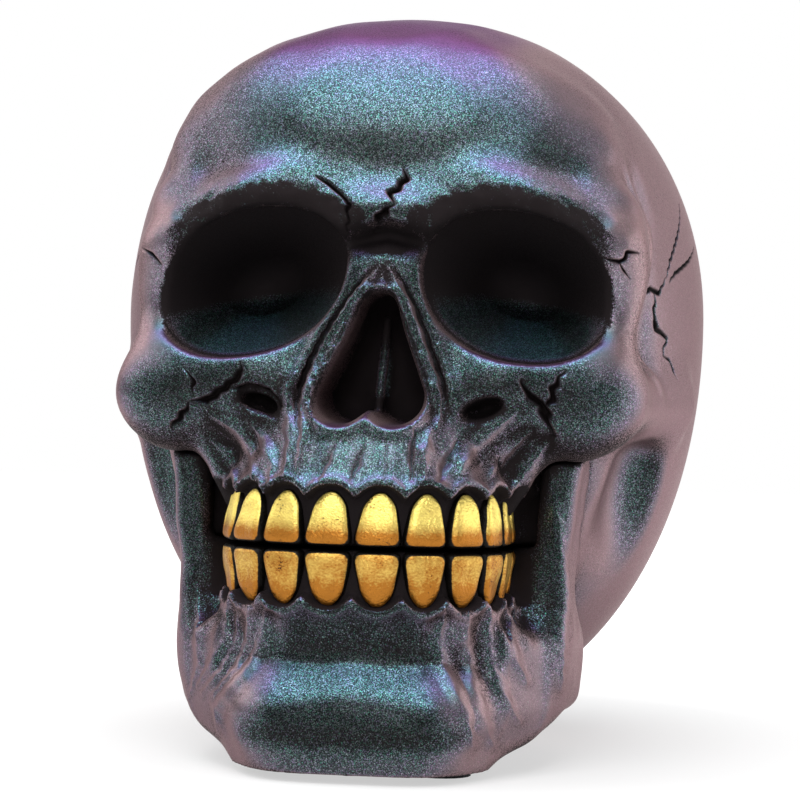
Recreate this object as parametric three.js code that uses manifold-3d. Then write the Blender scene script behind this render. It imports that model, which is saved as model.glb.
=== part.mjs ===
// A cast-resin skull ornament that stands on a table: a hollow cranium, a lower jaw bonded under it,
// gilded teeth set in sockets along both jaws, a plug in the casting hole and four felt feet.
// Millimetres, +Z up. The face looks along -Y. The origin is the middle of the footprint on the table.
import * as THREE from 'three';
import { mergeVertices } from 'three/addons/utils/BufferGeometryUtils.js';
import Module from 'manifold-3d';

// Braincase: an egg, widest above the middle, drawn in towards the foot
const CRANIUM_WIDTH = 101.6;
const CRANIUM_LENGTH = 121;
const CRANIUM_TOP = 126.5;
const CRANIUM_WIDEST_Z = 73;
const CRANIUM_CENTRE_Y = 8;
const CRANIUM_TAPER_DEPTH = 70.5;
const CRANIUM_SQUARENESS = 2.2;
const CRANIUM_WALL = 6;

// Forehead: a squarer block in front of the egg
const FOREHEAD_HALF_WIDTH = 38.8;
const FOREHEAD_DEPTH = 29;
const FOREHEAD_HALF_HEIGHT = 38;
const FOREHEAD_Y = -21;
const FOREHEAD_Z = 82;
const FOREHEAD_SQUARENESS = 2.35;

// Foot of the cranium, sanded flat
const FOOT_HALF_WIDTH = 21;
const FOOT_HALF_LENGTH = 27;
const FOOT_Y = 7;
const FOOT_TOP = 12;

// Eye sockets and the ring of bone around them
const ORBIT_X = 21.4;
const ORBIT_Z = 77.6;
const ORBIT_WIDTH = 31.4;
const ORBIT_HEIGHT = 25;
const ORBIT_DEPTH = 24;
const ORBIT_SQUARENESS = 2.35;
const ORBIT_SHEAR = 0.16;
const ORBIT_DROOP = 0.13;
const ORBIT_TAPER = 0.3;
const RIM_Y = -49.5;
const ORBIT_BACK_ROUNDING = 8;
const RIM_RADIUS = 2.9;
const RIM_THINNING = 0.35;
const RIM_THINNING_START = 0.4;
const BROW_RADIUS = 4;
const BROW_OVERHANG = 1.2;
const LOWER_RIM_OVERHANG = 2.6;
const RIM_SETBACK = 4.5;
const RIM_OFFSET_SHARE = 0.4;
const ORBIT_EDGE = 2.5;
const PILLAR_X = 34;
const PILLAR_Y = -39;
const PILLAR_RADIUS = 5;
const SEPTUM_HALF_WIDTH = 7;
const SEPTUM_Y = -40;
const SEPTUM_DEPTH = 8.5;
const SEPTUM_HALF_HEIGHT = 15;

// Knot of the frowning brow, from its outer to its inner end: x, y, z and radius
const BROW_KNOT = [[14, -46.5, 94.5, 3], [6, -49, 88.5, 3.4]];

// Nose
const NOSE_TOP_Z = 77;
const NOSE_BOTTOM_Z = 55.2;
const NOSE_WIDTH = 17;
const NOSE_TOP_RADIUS = 2.6;
const NOSE_LOBE_RADIUS = 4.2;
const NOSE_BACK_Y = -38;
const NOSE_RIM_HEIGHT = 1;
const NOSE_RIM_WIDTH = 2.4;
const NOSE_EDGE = 2;
const SPINE_RISE = 2;
const BRIDGE_Y = -47.2;
const BRIDGE_TOP_RADIUS = 2.2;
const BRIDGE_RADIUS = 2.7;
const BRIDGE_WING_RADIUS = 3;
const BRIDGE_RISE = 5;
const BRIDGE_SLANT = 3;
const BRIDGE_WING_SLANT = 4.5;
const BRIDGE_WING_RISE = 5.9;
const NOSE_WALL = 1.5;

// Cheekbones
const CHEEK_X = 32.8;
const CHEEK_Y = -46;
const CHEEK_Z = 59.5;
const CHEEK_HALF_WIDTH = 8.8;
const CHEEK_HALF_DEPTH = 8;
const CHEEK_HALF_HEIGHT = 9;
const CHEEK_ROOT_RADIUS = 6.8;
const CHEEK_ROOT_SLANT = 4;
const ZYGOMA_RADIUS = 5.2;
const ZYGOMA_END_Y = -12;
const ZYGOMA_INSET = 6.5;
const CREST_RADIUS = 3.4;
const CREST_LOW_INSET = 1.3;
const CREST_LOW_RUN = 7;
const CREST_LOW_DROP = 4.2;
const CREST_MIDDLE_INSET = 4.6;
const CREST_MIDDLE_RUN = 12;
const CREST_MIDDLE_RISE = 5.6;
const CREST_TOP_INSET = 6.5;
const CREST_TOP_RUN = 22;
const CREST_TOP_RISE = 14;

// Buttress from the cheekbone down to the gum: x, y, z and radius
const BUTTRESS = [[30.5, -46.5, 53, 4], [25.5, -48.5, 49, 3.2], [22.6, -48, 44, 2.4]];

// Dental arch, shared by both jaws
const ARCH_HALF_WIDTH = 23.2;
const ARCH_DEPTH = 21;
const ARCH_FRONT_Y = -66;
const ARCH_SQUARENESS = 2.5;
const BITE_Z = 36;
const BITE_GAP = 0.6;
const MOUTH_BACK_Y = -36;
const UPPER_GUM_Z = 45.4;
const LOWER_GUM_Z = 27.2;
const GUM_EDGE = 0.7;
const TOOTH_BED = 1.8;
const UPPER_GUM_LEAN = 0.5;
const LOWER_GUM_LEAN = 0.6;
const LOWER_GUM_HEIGHT = 9;

// Wall behind the back teeth, in the upper and in the lower jaw: x, y, z and radius
const UPPER_WALL = [[25.5, -32, 30, 5.4], [26.5, -31.5, 56, 6]];
const LOWER_WALL = [[24.5, -37, 14, 5], [25.5, -32, 40, 5.4]];

// The face leans off the middle: to the skull's left at the brow, to its right at the teeth
const FACE_LEAN = 0.05;
const FACE_LEAN_Z = 57;
const FACE_LEAN_TOP_Z = 88;
const CROWN_LEAN_BACK = 0.08;
const CHIN_LEAN_TOP_Z = 38;
const CHIN_LEAN_BACK = 0.01;
const FACE_LEAN_FRONT_Y = -45;
const FACE_LEAN_END_Y = -15;

// Teeth: six on each side of each jaw, from the middle out
const TOOTH_PITCHES = [7.9, 7.3, 7.2, 6.2, 6.0, 5.6];
const TOOTH_GAP = 0.8;
const TOOTH_DEPTH = 6.4;
const UPPER_TOOTH_HEIGHT = 8.8;
const LOWER_TOOTH_HEIGHT = 8.2;
const TOOTH_FLARE = 1.14;
const TOOTH_NECK = 0.74;
const TOOTH_ROOT = 0.7;
const TOOTH_ROOT_SPREAD = 0.7;
const TOOTH_SQUARENESS = 3.5;
const TOOTH_PROUD = 0.5;
const TOOTH_FACE_LEAN = 0.9;
const TOOTH_CLEARANCE = 0.25;

// Upper jaw
const MAXILLA_HALF_WIDTH = 26.5;
const MAXILLA_HALF_HEIGHT = 12.5;
const MAXILLA_DEPTH = 20;
const MAXILLA_Y = -38.5;
const MAXILLA_Z = 55.5;

// Lower jaw
const CHIN_FRONT_Y = -68;
const CHIN_HALF_WIDTH = 18;
const CHIN_DEPTH = 9;
const CHIN_CORNER_SHARE = 0.62;
const CHIN_CORNER_SETBACK = 1;
const CHIN_SIDE_SETBACK = 7;
const CHIN_RECESS = 6;
const CHIN_RECESS_LOW_Z = 11;
const CHIN_RECESS_HIGH_Z = 19;
const CHIN_RECESS_INNER_X = 14;
const CHIN_RECESS_OUTER_X = 24;
const SHIELD_Z = 8;
const SHIELD_HALF_WIDTH = 18;
const SHIELD_HALF_HEIGHT = 12.6;
const SHIELD_SPREAD = 0.12;
const SHIELD_SQUARENESS = 3.6;
const SHIELD_CREASE_Z = 12.5;
const SHIELD_CREASE_ROUNDING = 1.7;
const SHIELD_SEAM = 4;
const JAW_BODY_BACK_X = 28.6;
const JAW_BASE_INSET = 0.12;
const JAW_BASE_INSET_TOP_Z = 11;
const JAW_BASE_INSET_LOW_Z = 2;
const JAW_ANGLE_X = 27.2;
const JAW_ANGLE_Y = -28;
const JAW_MIDDLE_BOW = 0.66;
const JAW_MIDDLE_THICKNESS = 5;
const JAW_BODY_TOP = 24;
const JAW_BORDER_RISE = 8;
const JAW_FRONT_THICKNESS = 6.4;
const JAW_BACK_THICKNESS = 4.2;
const RAMUS_TOP_Z = 52;
const RAMUS_TOP_X = 31.8;
const RAMUS_RADIUS = 3.4;
const RAMUS_LENGTH = 12;
const RAMUS_LEAN = 3;
const RAMUS_TURN_OUT = 0.1;
const RAMUS_TOP_TURN_IN = 0.15;
const JAW_BOND_GAP = 0.35;

// Hollows under the cheekbone, in front of and behind the branch of the jaw
const FRONT_HOLLOW_X = 31;
const FRONT_HOLLOW_Y = -50;
const FRONT_HOLLOW_HALF_WIDTH = 6;
const FRONT_HOLLOW_HALF_LENGTH = 12;
const BACK_HOLLOW_X = 41.5;
const BACK_HOLLOW_Y = -22;
const BACK_HOLLOW_HALF_WIDTH = 6.5;
const BACK_HOLLOW_HALF_LENGTH = 8.5;
const HOLLOW_HALF_HEIGHT = 14;
const HOLLOW_Z = 41;

// Casting hole with its plug, and the felt feet
const HOLE_RADIUS = 8;
const HOLE_RIM_RADIUS = 11;
const HOLE_RIM_DEPTH = 2.4;
const PLUG_LENGTH = 7;
const PLUG_CLEARANCE = 0.25;
const PAD_RADIUS = 5;
const PAD_THICKNESS = 2;
const PAD_RECESS = 0.8;
const PAD_SPREAD = 12;
const PAD_FRONT_Y = -51;
const PAD_BACK_Y = 25;
const PAD_CLEARANCE = 0.2;
const GLUE_LINE = 0.05;

// Widths of the rounded seams between masses of bone
const BROW_SEAM = 15;
const WIDE_SEAM = 8;
const SEAM = 5;
const TIGHT_SEAM = 2;

// Spacing of the points on the skins, and the spare that is sanded or drilled away
const FACE_STEP = 3.3;
const SIDE_STEP = 3.8;
const BACK_STEP = 8.5;
const CAVITY_STEP = 10.5;
const JAW_STEP = 3.4;
const CELL_MARGIN = 0.04;
const SLOPE_STEP = 0.02;
const BASE_SPARE = 4;
const CUT_SPARE = 1;
const TOOTH_SEGMENTS = 10;
const TOOTH_ROWS = 6;
const HOLE_SEGMENTS = 24;
const PAD_SEGMENTS = 20;

const BASE_Z = PAD_THICKNESS - PAD_RECESS;
const ARCH_BACK_Y = ARCH_FRONT_Y + ARCH_DEPTH;
const CRANIUM_BACK_Y = CRANIUM_CENTRE_Y + CRANIUM_LENGTH / 2;

const clamp01 = (t) => Math.min(1, Math.max(0, t));
const mix = (a, b, t) => a + (b - a) * t;
const ramp = (a, b, v) => {
  const t = clamp01((v - a) / (b - a));
  return t * t * (3 - 2 * t);
};

// Union and cut with a rounded seam of width k
function join(a, b, k) {
  const h = Math.max(k - Math.abs(a - b), 0) / k;
  return Math.min(a, b) - h * h * k * 0.25;
}
const cut = (a, b, k) => -join(-a, b, k);
const meet = (a, b, k) => -join(-a, -b, k);

function ellipsoid(dx, dy, dz, rx, ry, rz) {
  const k0 = Math.hypot(dx / rx, dy / ry, dz / rz);
  const k1 = Math.hypot(dx / (rx * rx), dy / (ry * ry), dz / (rz * rz));
  return k1 < 1e-9 ? -Math.min(rx, ry, rz) : (k0 * (k0 - 1)) / k1;
}

// Near distance to a squared ellipsoid with those half sizes and squareness n
function pebble(dx, dy, dz, rx, ry, rz, n) {
  const u = Math.abs(dx / rx);
  const v = Math.abs(dy / ry);
  const w = Math.abs(dz / rz);
  const size = Math.max((u ** n + v ** n + w ** n) ** (1 / n), 1e-3);
  const steep = Math.hypot(u ** (n - 1) / rx, v ** (n - 1) / ry, w ** (n - 1) / rz);
  return (size - 1) / Math.max(size ** (1 - n) * steep, 1e-3);
}

// A rounded rod through a row of points, each point [x, y, z, radius]
function rod(x, y, z, points) {
  let best = Infinity;
  for (let i = 0; i + 1 < points.length; i += 1) {
    const [ax, ay, az, ar] = points[i];
    const [bx, by, bz, br] = points[i + 1];
    const ux = bx - ax;
    const uy = by - ay;
    const uz = bz - az;
    const along = (x - ax) * ux + (y - ay) * uy + (z - az) * uz;
    const t = clamp01(along / (ux * ux + uy * uy + uz * uz));
    const d = Math.hypot(x - ax - ux * t, y - ay - uy * t, z - az - uz * t) - mix(ar, br, t);
    best = Math.min(best, d);
  }
  return best;
}

function squareNorm(u, v, n) {
  return (Math.abs(u) ** n + Math.abs(v) ** n) ** (1 / n);
}

// Plan of the dental arch: a squared curve in front, straight sides behind
function archPlan(x, y, inset) {
  const half = ARCH_HALF_WIDTH - inset;
  const depth = ARCH_DEPTH - inset;
  if (y > ARCH_BACK_Y) return meet(x - half, y - JAW_ANGLE_Y, SEAM);
  return (squareNorm(x / half, (ARCH_BACK_Y - y) / depth, ARCH_SQUARENESS) - 1) * Math.min(half, depth);
}

// Sideways place of the face's middle
function faceMiddle(y, z) {
  const face = FACE_LEAN * (Math.min(FACE_LEAN_TOP_Z, Math.max(CHIN_LEAN_TOP_Z, z)) - FACE_LEAN_Z);
  const chin = CHIN_LEAN_BACK * Math.max(0, CHIN_LEAN_TOP_Z - z);
  const crown = CROWN_LEAN_BACK * Math.max(0, z - FACE_LEAN_TOP_Z);
  return (face + chin - crown) * ramp(FACE_LEAN_END_Y, FACE_LEAN_FRONT_Y, y);
}

function braincase(x, y, z) {
  const up = z > CRANIUM_WIDEST_Z;
  const rz = up ? CRANIUM_TOP - CRANIUM_WIDEST_Z : CRANIUM_TAPER_DEPTH;
  return pebble(
    x, y - CRANIUM_CENTRE_Y, z - CRANIUM_WIDEST_Z,
    CRANIUM_WIDTH / 2, CRANIUM_LENGTH / 2, rz, CRANIUM_SQUARENESS);
}

function forehead(x, y, z) {
  return pebble(
    x, y - FOREHEAD_Y, z - FOREHEAD_Z,
    FOREHEAD_HALF_WIDTH, FOREHEAD_DEPTH, FOREHEAD_HALF_HEIGHT, FOREHEAD_SQUARENESS);
}

function foot(x, y, z) {
  const plan = (squareNorm(x / FOOT_HALF_WIDTH, (y - FOOT_Y) / FOOT_HALF_LENGTH, 2) - 1) * FOOT_HALF_WIDTH;
  return meet(plan, Math.abs(z - FOOT_TOP / 2) - FOOT_TOP / 2 - BASE_SPARE, SEAM);
}

// Height above the middle of a socket, which droops on the outer side
const socketHeight = (x, z) => z - ORBIT_Z + ORBIT_DROOP * (x - ORBIT_X);

// Outline of an eye socket seen from the front, negative inside
function orbitOutline(x, z) {
  const dz = socketHeight(x, z);
  const dx = x - ORBIT_X + ORBIT_SHEAR * dz;
  const half = squareNorm(dx / (ORBIT_WIDTH / 2), dz / (ORBIT_HEIGHT / 2), ORBIT_SQUARENESS);
  return (half - 1) * ORBIT_HEIGHT * 0.5;
}

// The ring of bone around a socket: the brow hangs forward, the outer side lies back and is thinner
function orbitRim(x, y, z) {
  const halfWidth = ORBIT_WIDTH / 2;
  const brow = ramp(0, ORBIT_HEIGHT / 2, socketHeight(x, z));
  const lower = ramp(0, -ORBIT_HEIGHT / 2, socketHeight(x, z));
  const sides = ramp(ORBIT_X, ORBIT_X + halfWidth, x) + ramp(ORBIT_X, ORBIT_X - halfWidth, x);
  const depth = RIM_Y - brow * BROW_OVERHANG - lower * LOWER_RIM_OVERHANG + sides * RIM_SETBACK;
  const outer = ramp(ORBIT_X + RIM_THINNING_START * halfWidth, ORBIT_X + halfWidth, x);
  const radius = mix(RIM_RADIUS, BROW_RADIUS, brow) * (1 - RIM_THINNING * outer);
  const away = orbitOutline(x, z) - radius * RIM_OFFSET_SHARE;
  return Math.hypot(away, y - depth - radius * RIM_OFFSET_SHARE) - radius;
}

// Bone behind the ring: a pillar on the outer side, a septum between the two sockets
function orbitWalls(x, y, z) {
  const pillar = rod(x, y, z, [
    [PILLAR_X, PILLAR_Y, CHEEK_Z + CHEEK_HALF_HEIGHT / 2, PILLAR_RADIUS],
    [PILLAR_X, PILLAR_Y, ORBIT_Z + ORBIT_HEIGHT / 2, PILLAR_RADIUS]]);
  const septum = ellipsoid(
    x, y - SEPTUM_Y, z - ORBIT_Z, SEPTUM_HALF_WIDTH, SEPTUM_DEPTH, SEPTUM_HALF_HEIGHT);
  return Math.min(pillar, septum);
}

function orbitHollow(x, y, z) {
  const wall = orbitOutline(x, z) + ORBIT_TAPER * Math.max(0, y - RIM_Y);
  return meet(wall, y - RIM_Y - ORBIT_DEPTH, ORBIT_BACK_ROUNDING);
}

// Outline of the pear-shaped nose opening seen from the front, negative inside
function noseOutline(x, z) {
  const lobeX = NOSE_WIDTH / 2 - NOSE_LOBE_RADIUS;
  const lobeZ = NOSE_BOTTOM_Z + NOSE_LOBE_RADIUS;
  const topZ = NOSE_TOP_Z - NOSE_TOP_RADIUS;
  const side = rod(x, 0, z, [[0, 0, topZ, NOSE_TOP_RADIUS], [lobeX, 0, lobeZ, NOSE_LOBE_RADIUS]]);
  const middle = rod(x, 0, z, [[0, 0, topZ, NOSE_TOP_RADIUS], [0, 0, lobeZ + SPINE_RISE, NOSE_LOBE_RADIUS]]);
  return join(side, middle, TIGHT_SEAM);
}

function noseHollow(x, y, z) {
  return meet(noseOutline(x, z), y - NOSE_BACK_Y, SEAM);
}

function noseBridge(x, y, z) {
  const topZ = NOSE_TOP_Z + BRIDGE_RISE;
  const wingZ = NOSE_BOTTOM_Z + BRIDGE_WING_RISE;
  const ridge = rod(x, y, z, [
    [0, BRIDGE_Y, topZ, BRIDGE_TOP_RADIUS],
    [0, BRIDGE_Y - BRIDGE_SLANT, NOSE_TOP_Z, BRIDGE_RADIUS]]);
  const side = rod(x, y, z, [
    [NOSE_WALL, BRIDGE_Y, mix(NOSE_TOP_Z, topZ, 0.5), BRIDGE_RADIUS],
    [NOSE_WIDTH / 2 + NOSE_WALL, BRIDGE_Y - BRIDGE_WING_SLANT, wingZ, BRIDGE_WING_RADIUS]]);
  return join(ridge, side, TIGHT_SEAM);
}

function cheek(x, y, z) {
  const bone = ellipsoid(
    x - CHEEK_X, y - CHEEK_Y, z - CHEEK_Z, CHEEK_HALF_WIDTH, CHEEK_HALF_DEPTH, CHEEK_HALF_HEIGHT);
  const root = rod(x, y, z, [
    [CHEEK_X - CHEEK_HALF_WIDTH / 3, CHEEK_Y, CHEEK_Z, CHEEK_ROOT_RADIUS],
    [ORBIT_X - CHEEK_HALF_WIDTH / 4, CHEEK_Y - CHEEK_ROOT_SLANT, CHEEK_Z, CHEEK_ROOT_RADIUS]]);
  const zygoma = rod(x, y, z, [
    [CHEEK_X + CHEEK_HALF_WIDTH / 2, CHEEK_Y + CHEEK_HALF_DEPTH / 4, CHEEK_Z, ZYGOMA_RADIUS],
    [CRANIUM_WIDTH / 2 - ZYGOMA_INSET, ZYGOMA_END_Y, CHEEK_Z, ZYGOMA_RADIUS]]);
  return join(join(bone, root, SEAM), zygoma, SEAM);
}

// The crest that runs from the outer brow up and back over the temple
function templeCrest(x, y, z) {
  const browX = ORBIT_X + ORBIT_WIDTH / 2;
  const browZ = ORBIT_Z + ORBIT_HEIGHT / 2;
  return rod(x, y, z, [
    [browX - CREST_LOW_INSET, RIM_Y + CREST_LOW_RUN, browZ - CREST_LOW_DROP, CREST_RADIUS],
    [browX - CREST_MIDDLE_INSET, RIM_Y + CREST_MIDDLE_RUN, browZ + CREST_MIDDLE_RISE, CREST_RADIUS],
    [browX - CREST_TOP_INSET, RIM_Y + CREST_TOP_RUN, browZ + CREST_TOP_RISE, CREST_RADIUS]]);
}

function maxilla(x, y, z) {
  const body = ellipsoid(
    x, y - MAXILLA_Y, z - MAXILLA_Z, MAXILLA_HALF_WIDTH, MAXILLA_DEPTH, MAXILLA_HALF_HEIGHT);
  const bed = TOOTH_BED * ramp(UPPER_GUM_Z + GUM_EDGE, UPPER_GUM_Z - GUM_EDGE, z);
  const lean = Math.max(0, z - UPPER_GUM_Z) * UPPER_GUM_LEAN;
  const height = MAXILLA_Z - BITE_Z;
  const gum = meet(archPlan(x, y, bed + lean), Math.abs(z - MAXILLA_Z + height / 2) - height / 2, TIGHT_SEAM);
  return join(body, gum, SEAM);
}

// The hollow on each side between the upper jaw and the branch of the lower jaw, and the one behind it
function sideHollows(x, y, z) {
  const dz = z - HOLLOW_Z;
  const front = ellipsoid(
    x - FRONT_HOLLOW_X, y - FRONT_HOLLOW_Y, dz,
    FRONT_HOLLOW_HALF_WIDTH, FRONT_HOLLOW_HALF_LENGTH, HOLLOW_HALF_HEIGHT);
  const back = ellipsoid(
    x - BACK_HOLLOW_X, y - BACK_HOLLOW_Y, dz,
    BACK_HOLLOW_HALF_WIDTH, BACK_HOLLOW_HALF_LENGTH, HOLLOW_HALF_HEIGHT);
  return Math.min(front, back);
}

function craniumField(sx, y, z) {
  const x = Math.abs(sx - faceMiddle(y, z));
  let d = join(braincase(x, y, z), forehead(x, y, z), WIDE_SEAM);
  d = join(d, foot(x, y, z), WIDE_SEAM);
  d = join(d, templeCrest(x, y, z), WIDE_SEAM);
  d = cut(d, sideHollows(x, y, z), SEAM);
  d = join(d, maxilla(x, y, z), WIDE_SEAM);
  d = join(d, noseBridge(x, y, z), SEAM);
  d = join(d, cheek(x, y, z), SEAM);
  d = join(d, orbitWalls(x, y, z), SEAM);
  d = join(d, rod(x, y, z, BROW_KNOT), SEAM);
  d = join(d, rod(x, y, z, BUTTRESS), TIGHT_SEAM);
  d = join(d, rod(x, y, z, UPPER_WALL), SEAM);
  const brow = ramp(ORBIT_HEIGHT / 4, ORBIT_HEIGHT / 2, z - ORBIT_Z);
  d = join(d, orbitRim(x, y, z), mix(WIDE_SEAM, BROW_SEAM, brow));
  const rim = (noseOutline(x, z) - NOSE_RIM_WIDTH) / NOSE_RIM_WIDTH;
  d -= NOSE_RIM_HEIGHT * Math.exp(-rim * rim) * ramp(NOSE_BACK_Y, NOSE_BACK_Y - SEAM, y);
  d = cut(d, orbitHollow(x, y, z), ORBIT_EDGE);
  d = cut(d, noseHollow(x, y, z), NOSE_EDGE);
  const mouth = meet(z - BITE_Z - BITE_GAP / 2, y - MOUTH_BACK_Y, TIGHT_SEAM);
  return cut(d, mouth, TIGHT_SEAM / 2);
}

function cavityField(sx, y, z) {
  const x = Math.abs(sx);
  const shell = meet(braincase(x, y, z) + CRANIUM_WALL, craniumField(sx, y, z) + CRANIUM_WALL, SEAM);
  return meet(shell, BASE_Z + HOLE_RIM_DEPTH + PLUG_LENGTH - z, TIGHT_SEAM);
}

// The shield of the chin: upright below its crease, leaning back above it
function chinShield(x, y, z) {
  const over = z - SHIELD_CREASE_Z;
  const back = (over + Math.hypot(over, SHIELD_CREASE_ROUNDING)) / 2;
  const half = SHIELD_HALF_WIDTH + SHIELD_SPREAD * (SHIELD_Z - z);
  const middleY = CHIN_FRONT_Y + CHIN_DEPTH + back;
  return pebble(x, y - middleY, z - SHIELD_Z, half, CHIN_DEPTH, SHIELD_HALF_HEIGHT, SHIELD_SQUARENESS);
}

function jawField(sx, y, z) {
  const x = Math.abs(sx - faceMiddle(y, z));
  const bodyZ = JAW_BODY_TOP / 2;
  const frontY = CHIN_FRONT_Y + CHIN_DEPTH;
  const lift = JAW_BORDER_RISE * ramp(frontY, JAW_ANGLE_Y, y);
  const inner = ramp(CHIN_RECESS_OUTER_X, CHIN_RECESS_INNER_X, x);
  const recess = CHIN_RECESS * ramp(CHIN_RECESS_LOW_Z, CHIN_RECESS_HIGH_Z, z) * inner;
  const drawnIn = 1 + JAW_BASE_INSET * ramp(JAW_BASE_INSET_TOP_Z, JAW_BASE_INSET_LOW_Z, z);
  const middleX = mix(CHIN_HALF_WIDTH, JAW_BODY_BACK_X, JAW_MIDDLE_BOW);
  const middleY = mix(frontY, JAW_ANGLE_Y, 0.5);
  const plan = rod(x * drawnIn, y - recess, 0, [
    [0, frontY, 0, JAW_FRONT_THICKNESS],
    [CHIN_HALF_WIDTH * CHIN_CORNER_SHARE, frontY + CHIN_CORNER_SETBACK, 0, JAW_FRONT_THICKNESS],
    [CHIN_HALF_WIDTH, frontY + CHIN_SIDE_SETBACK, 0, JAW_FRONT_THICKNESS],
    [middleX, middleY, 0, JAW_MIDDLE_THICKNESS],
    [JAW_BODY_BACK_X, JAW_ANGLE_Y, 0, JAW_BACK_THICKNESS]]);
  let d = meet(plan, Math.abs(z - lift / 2 - bodyZ) - bodyZ + lift / 2, SEAM);
  d = join(d, chinShield(x, y, z), SHIELD_SEAM);
  d = join(d, rod(x, y, z, LOWER_WALL), SEAM);
  const bed = TOOTH_BED * ramp(LOWER_GUM_Z - GUM_EDGE, LOWER_GUM_Z + GUM_EDGE, z);
  const under = Math.min(LOWER_GUM_HEIGHT, Math.max(0, LOWER_GUM_Z - z)) * LOWER_GUM_LEAN;
  const gumHalf = BITE_Z / 2 - lift / 2 + BASE_SPARE;
  const gum = meet(archPlan(x, y, bed + under), Math.abs(z - BITE_Z / 2 - lift / 2) - gumHalf, TIGHT_SEAM);
  d = join(d, gum, SEAM);
  const halfwayZ = mix(bodyZ, RAMUS_TOP_Z, 0.5);
  const topY = JAW_ANGLE_Y - RAMUS_LEAN;
  for (const shift of [-RAMUS_LENGTH, -RAMUS_LENGTH / 2, 0]) {
    const branch = rod(x, y, z, [
      [JAW_ANGLE_X, JAW_ANGLE_Y + shift, bodyZ + lift / 2, RAMUS_RADIUS],
      [JAW_ANGLE_X - shift * RAMUS_TURN_OUT, JAW_ANGLE_Y + shift, halfwayZ, RAMUS_RADIUS],
      [RAMUS_TOP_X + shift * RAMUS_TOP_TURN_IN, topY + shift, RAMUS_TOP_Z, RAMUS_RADIUS]]);
    d = join(d, branch, SEAM);
  }
  const above = meet(BITE_Z - BITE_GAP / 2 - z, archPlan(x, y, -2 * TOOTH_BED), TIGHT_SEAM);
  return cut(d, above, TIGHT_SEAM / 2);
}

// Lines of a grid along one axis, from stretches given as [from, to, step]
function gridLines(stretches) {
  const lines = [stretches[0][0]];
  for (const [from, to, step] of stretches) {
    const count = Math.max(1, Math.ceil((to - from) / step));
    for (let i = 1; i <= count; i += 1) lines.push(mix(from, to, i / count));
  }
  return lines;
}

// Lines across the part, the same on both sides of the middle
function mirroredLines(reach, step) {
  const right = gridLines([[step / 2, reach, step]]);
  return [...right.map((v) => -v).reverse(), ...right];
}

function slope(field, p) {
  const e = SLOPE_STEP;
  const [x, y, z] = p;
  return [
    (field(x + e, y, z) - field(x - e, y, z)) / (2 * e),
    (field(x, y + e, z) - field(x, y - e, z)) / (2 * e),
    (field(x, y, z + e) - field(x, y, z - e)) / (2 * e)];
}

// Move a point onto the surface, without leaving the box of its cell
function settle(field, p, low, high) {
  let q = p;
  for (let pass = 0; pass < 4; pass += 1) {
    const g = slope(field, q);
    const size = g[0] * g[0] + g[1] * g[1] + g[2] * g[2];
    if (size < 1e-8) return q;
    const step = field(...q) / size;
    q = q.map((v, i) => Math.min(high[i], Math.max(low[i], v - step * g[i])));
  }
  return q;
}

// A cell of the grid: eight corners, twelve edges as pairs of corners, six faces as rows of edges
const CORNERS = [0, 1, 2, 3, 4, 5, 6, 7].map((c) => [c & 1, (c >> 1) & 1, c >> 2]);
const EDGES = [];
CORNERS.forEach((a, p) => CORNERS.forEach((b, q) => {
  const apart = a.map((v, axis) => Math.abs(v - b[axis]));
  if (p < q && apart[0] + apart[1] + apart[2] === 1) EDGES.push([p, q]);
}));
const FACES = [0, 1, 2].flatMap((axis) => [0, 1].map((end) => EDGES.map((edge, e) => e)
  .filter((e) => EDGES[e].every((c) => CORNERS[c][axis] === end))));

// Which crossed edges of a cell lie on the same sheet of the surface
function sheets(inside) {
  const crossed = EDGES.map(([p, q]) => inside[p] !== inside[q]);
  const sheet = EDGES.map((edge, e) => e);
  const link = (a, b) => {
    const [from, to] = [sheet[a], sheet[b]];
    sheet.forEach((s, e) => {
      if (s === from) sheet[e] = to;
    });
  };
  for (const face of FACES) {
    const cuts = face.filter((e) => crossed[e]);
    if (cuts.length === 2) link(cuts[0], cuts[1]);
    if (cuts.length === 4) {
      for (const a of cuts) {
        for (const b of cuts) {
          if (a < b && EDGES[a].some((c) => inside[c] && EDGES[b].includes(c))) link(a, b);
        }
      }
    }
  }
  return { crossed, sheet };
}

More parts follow.
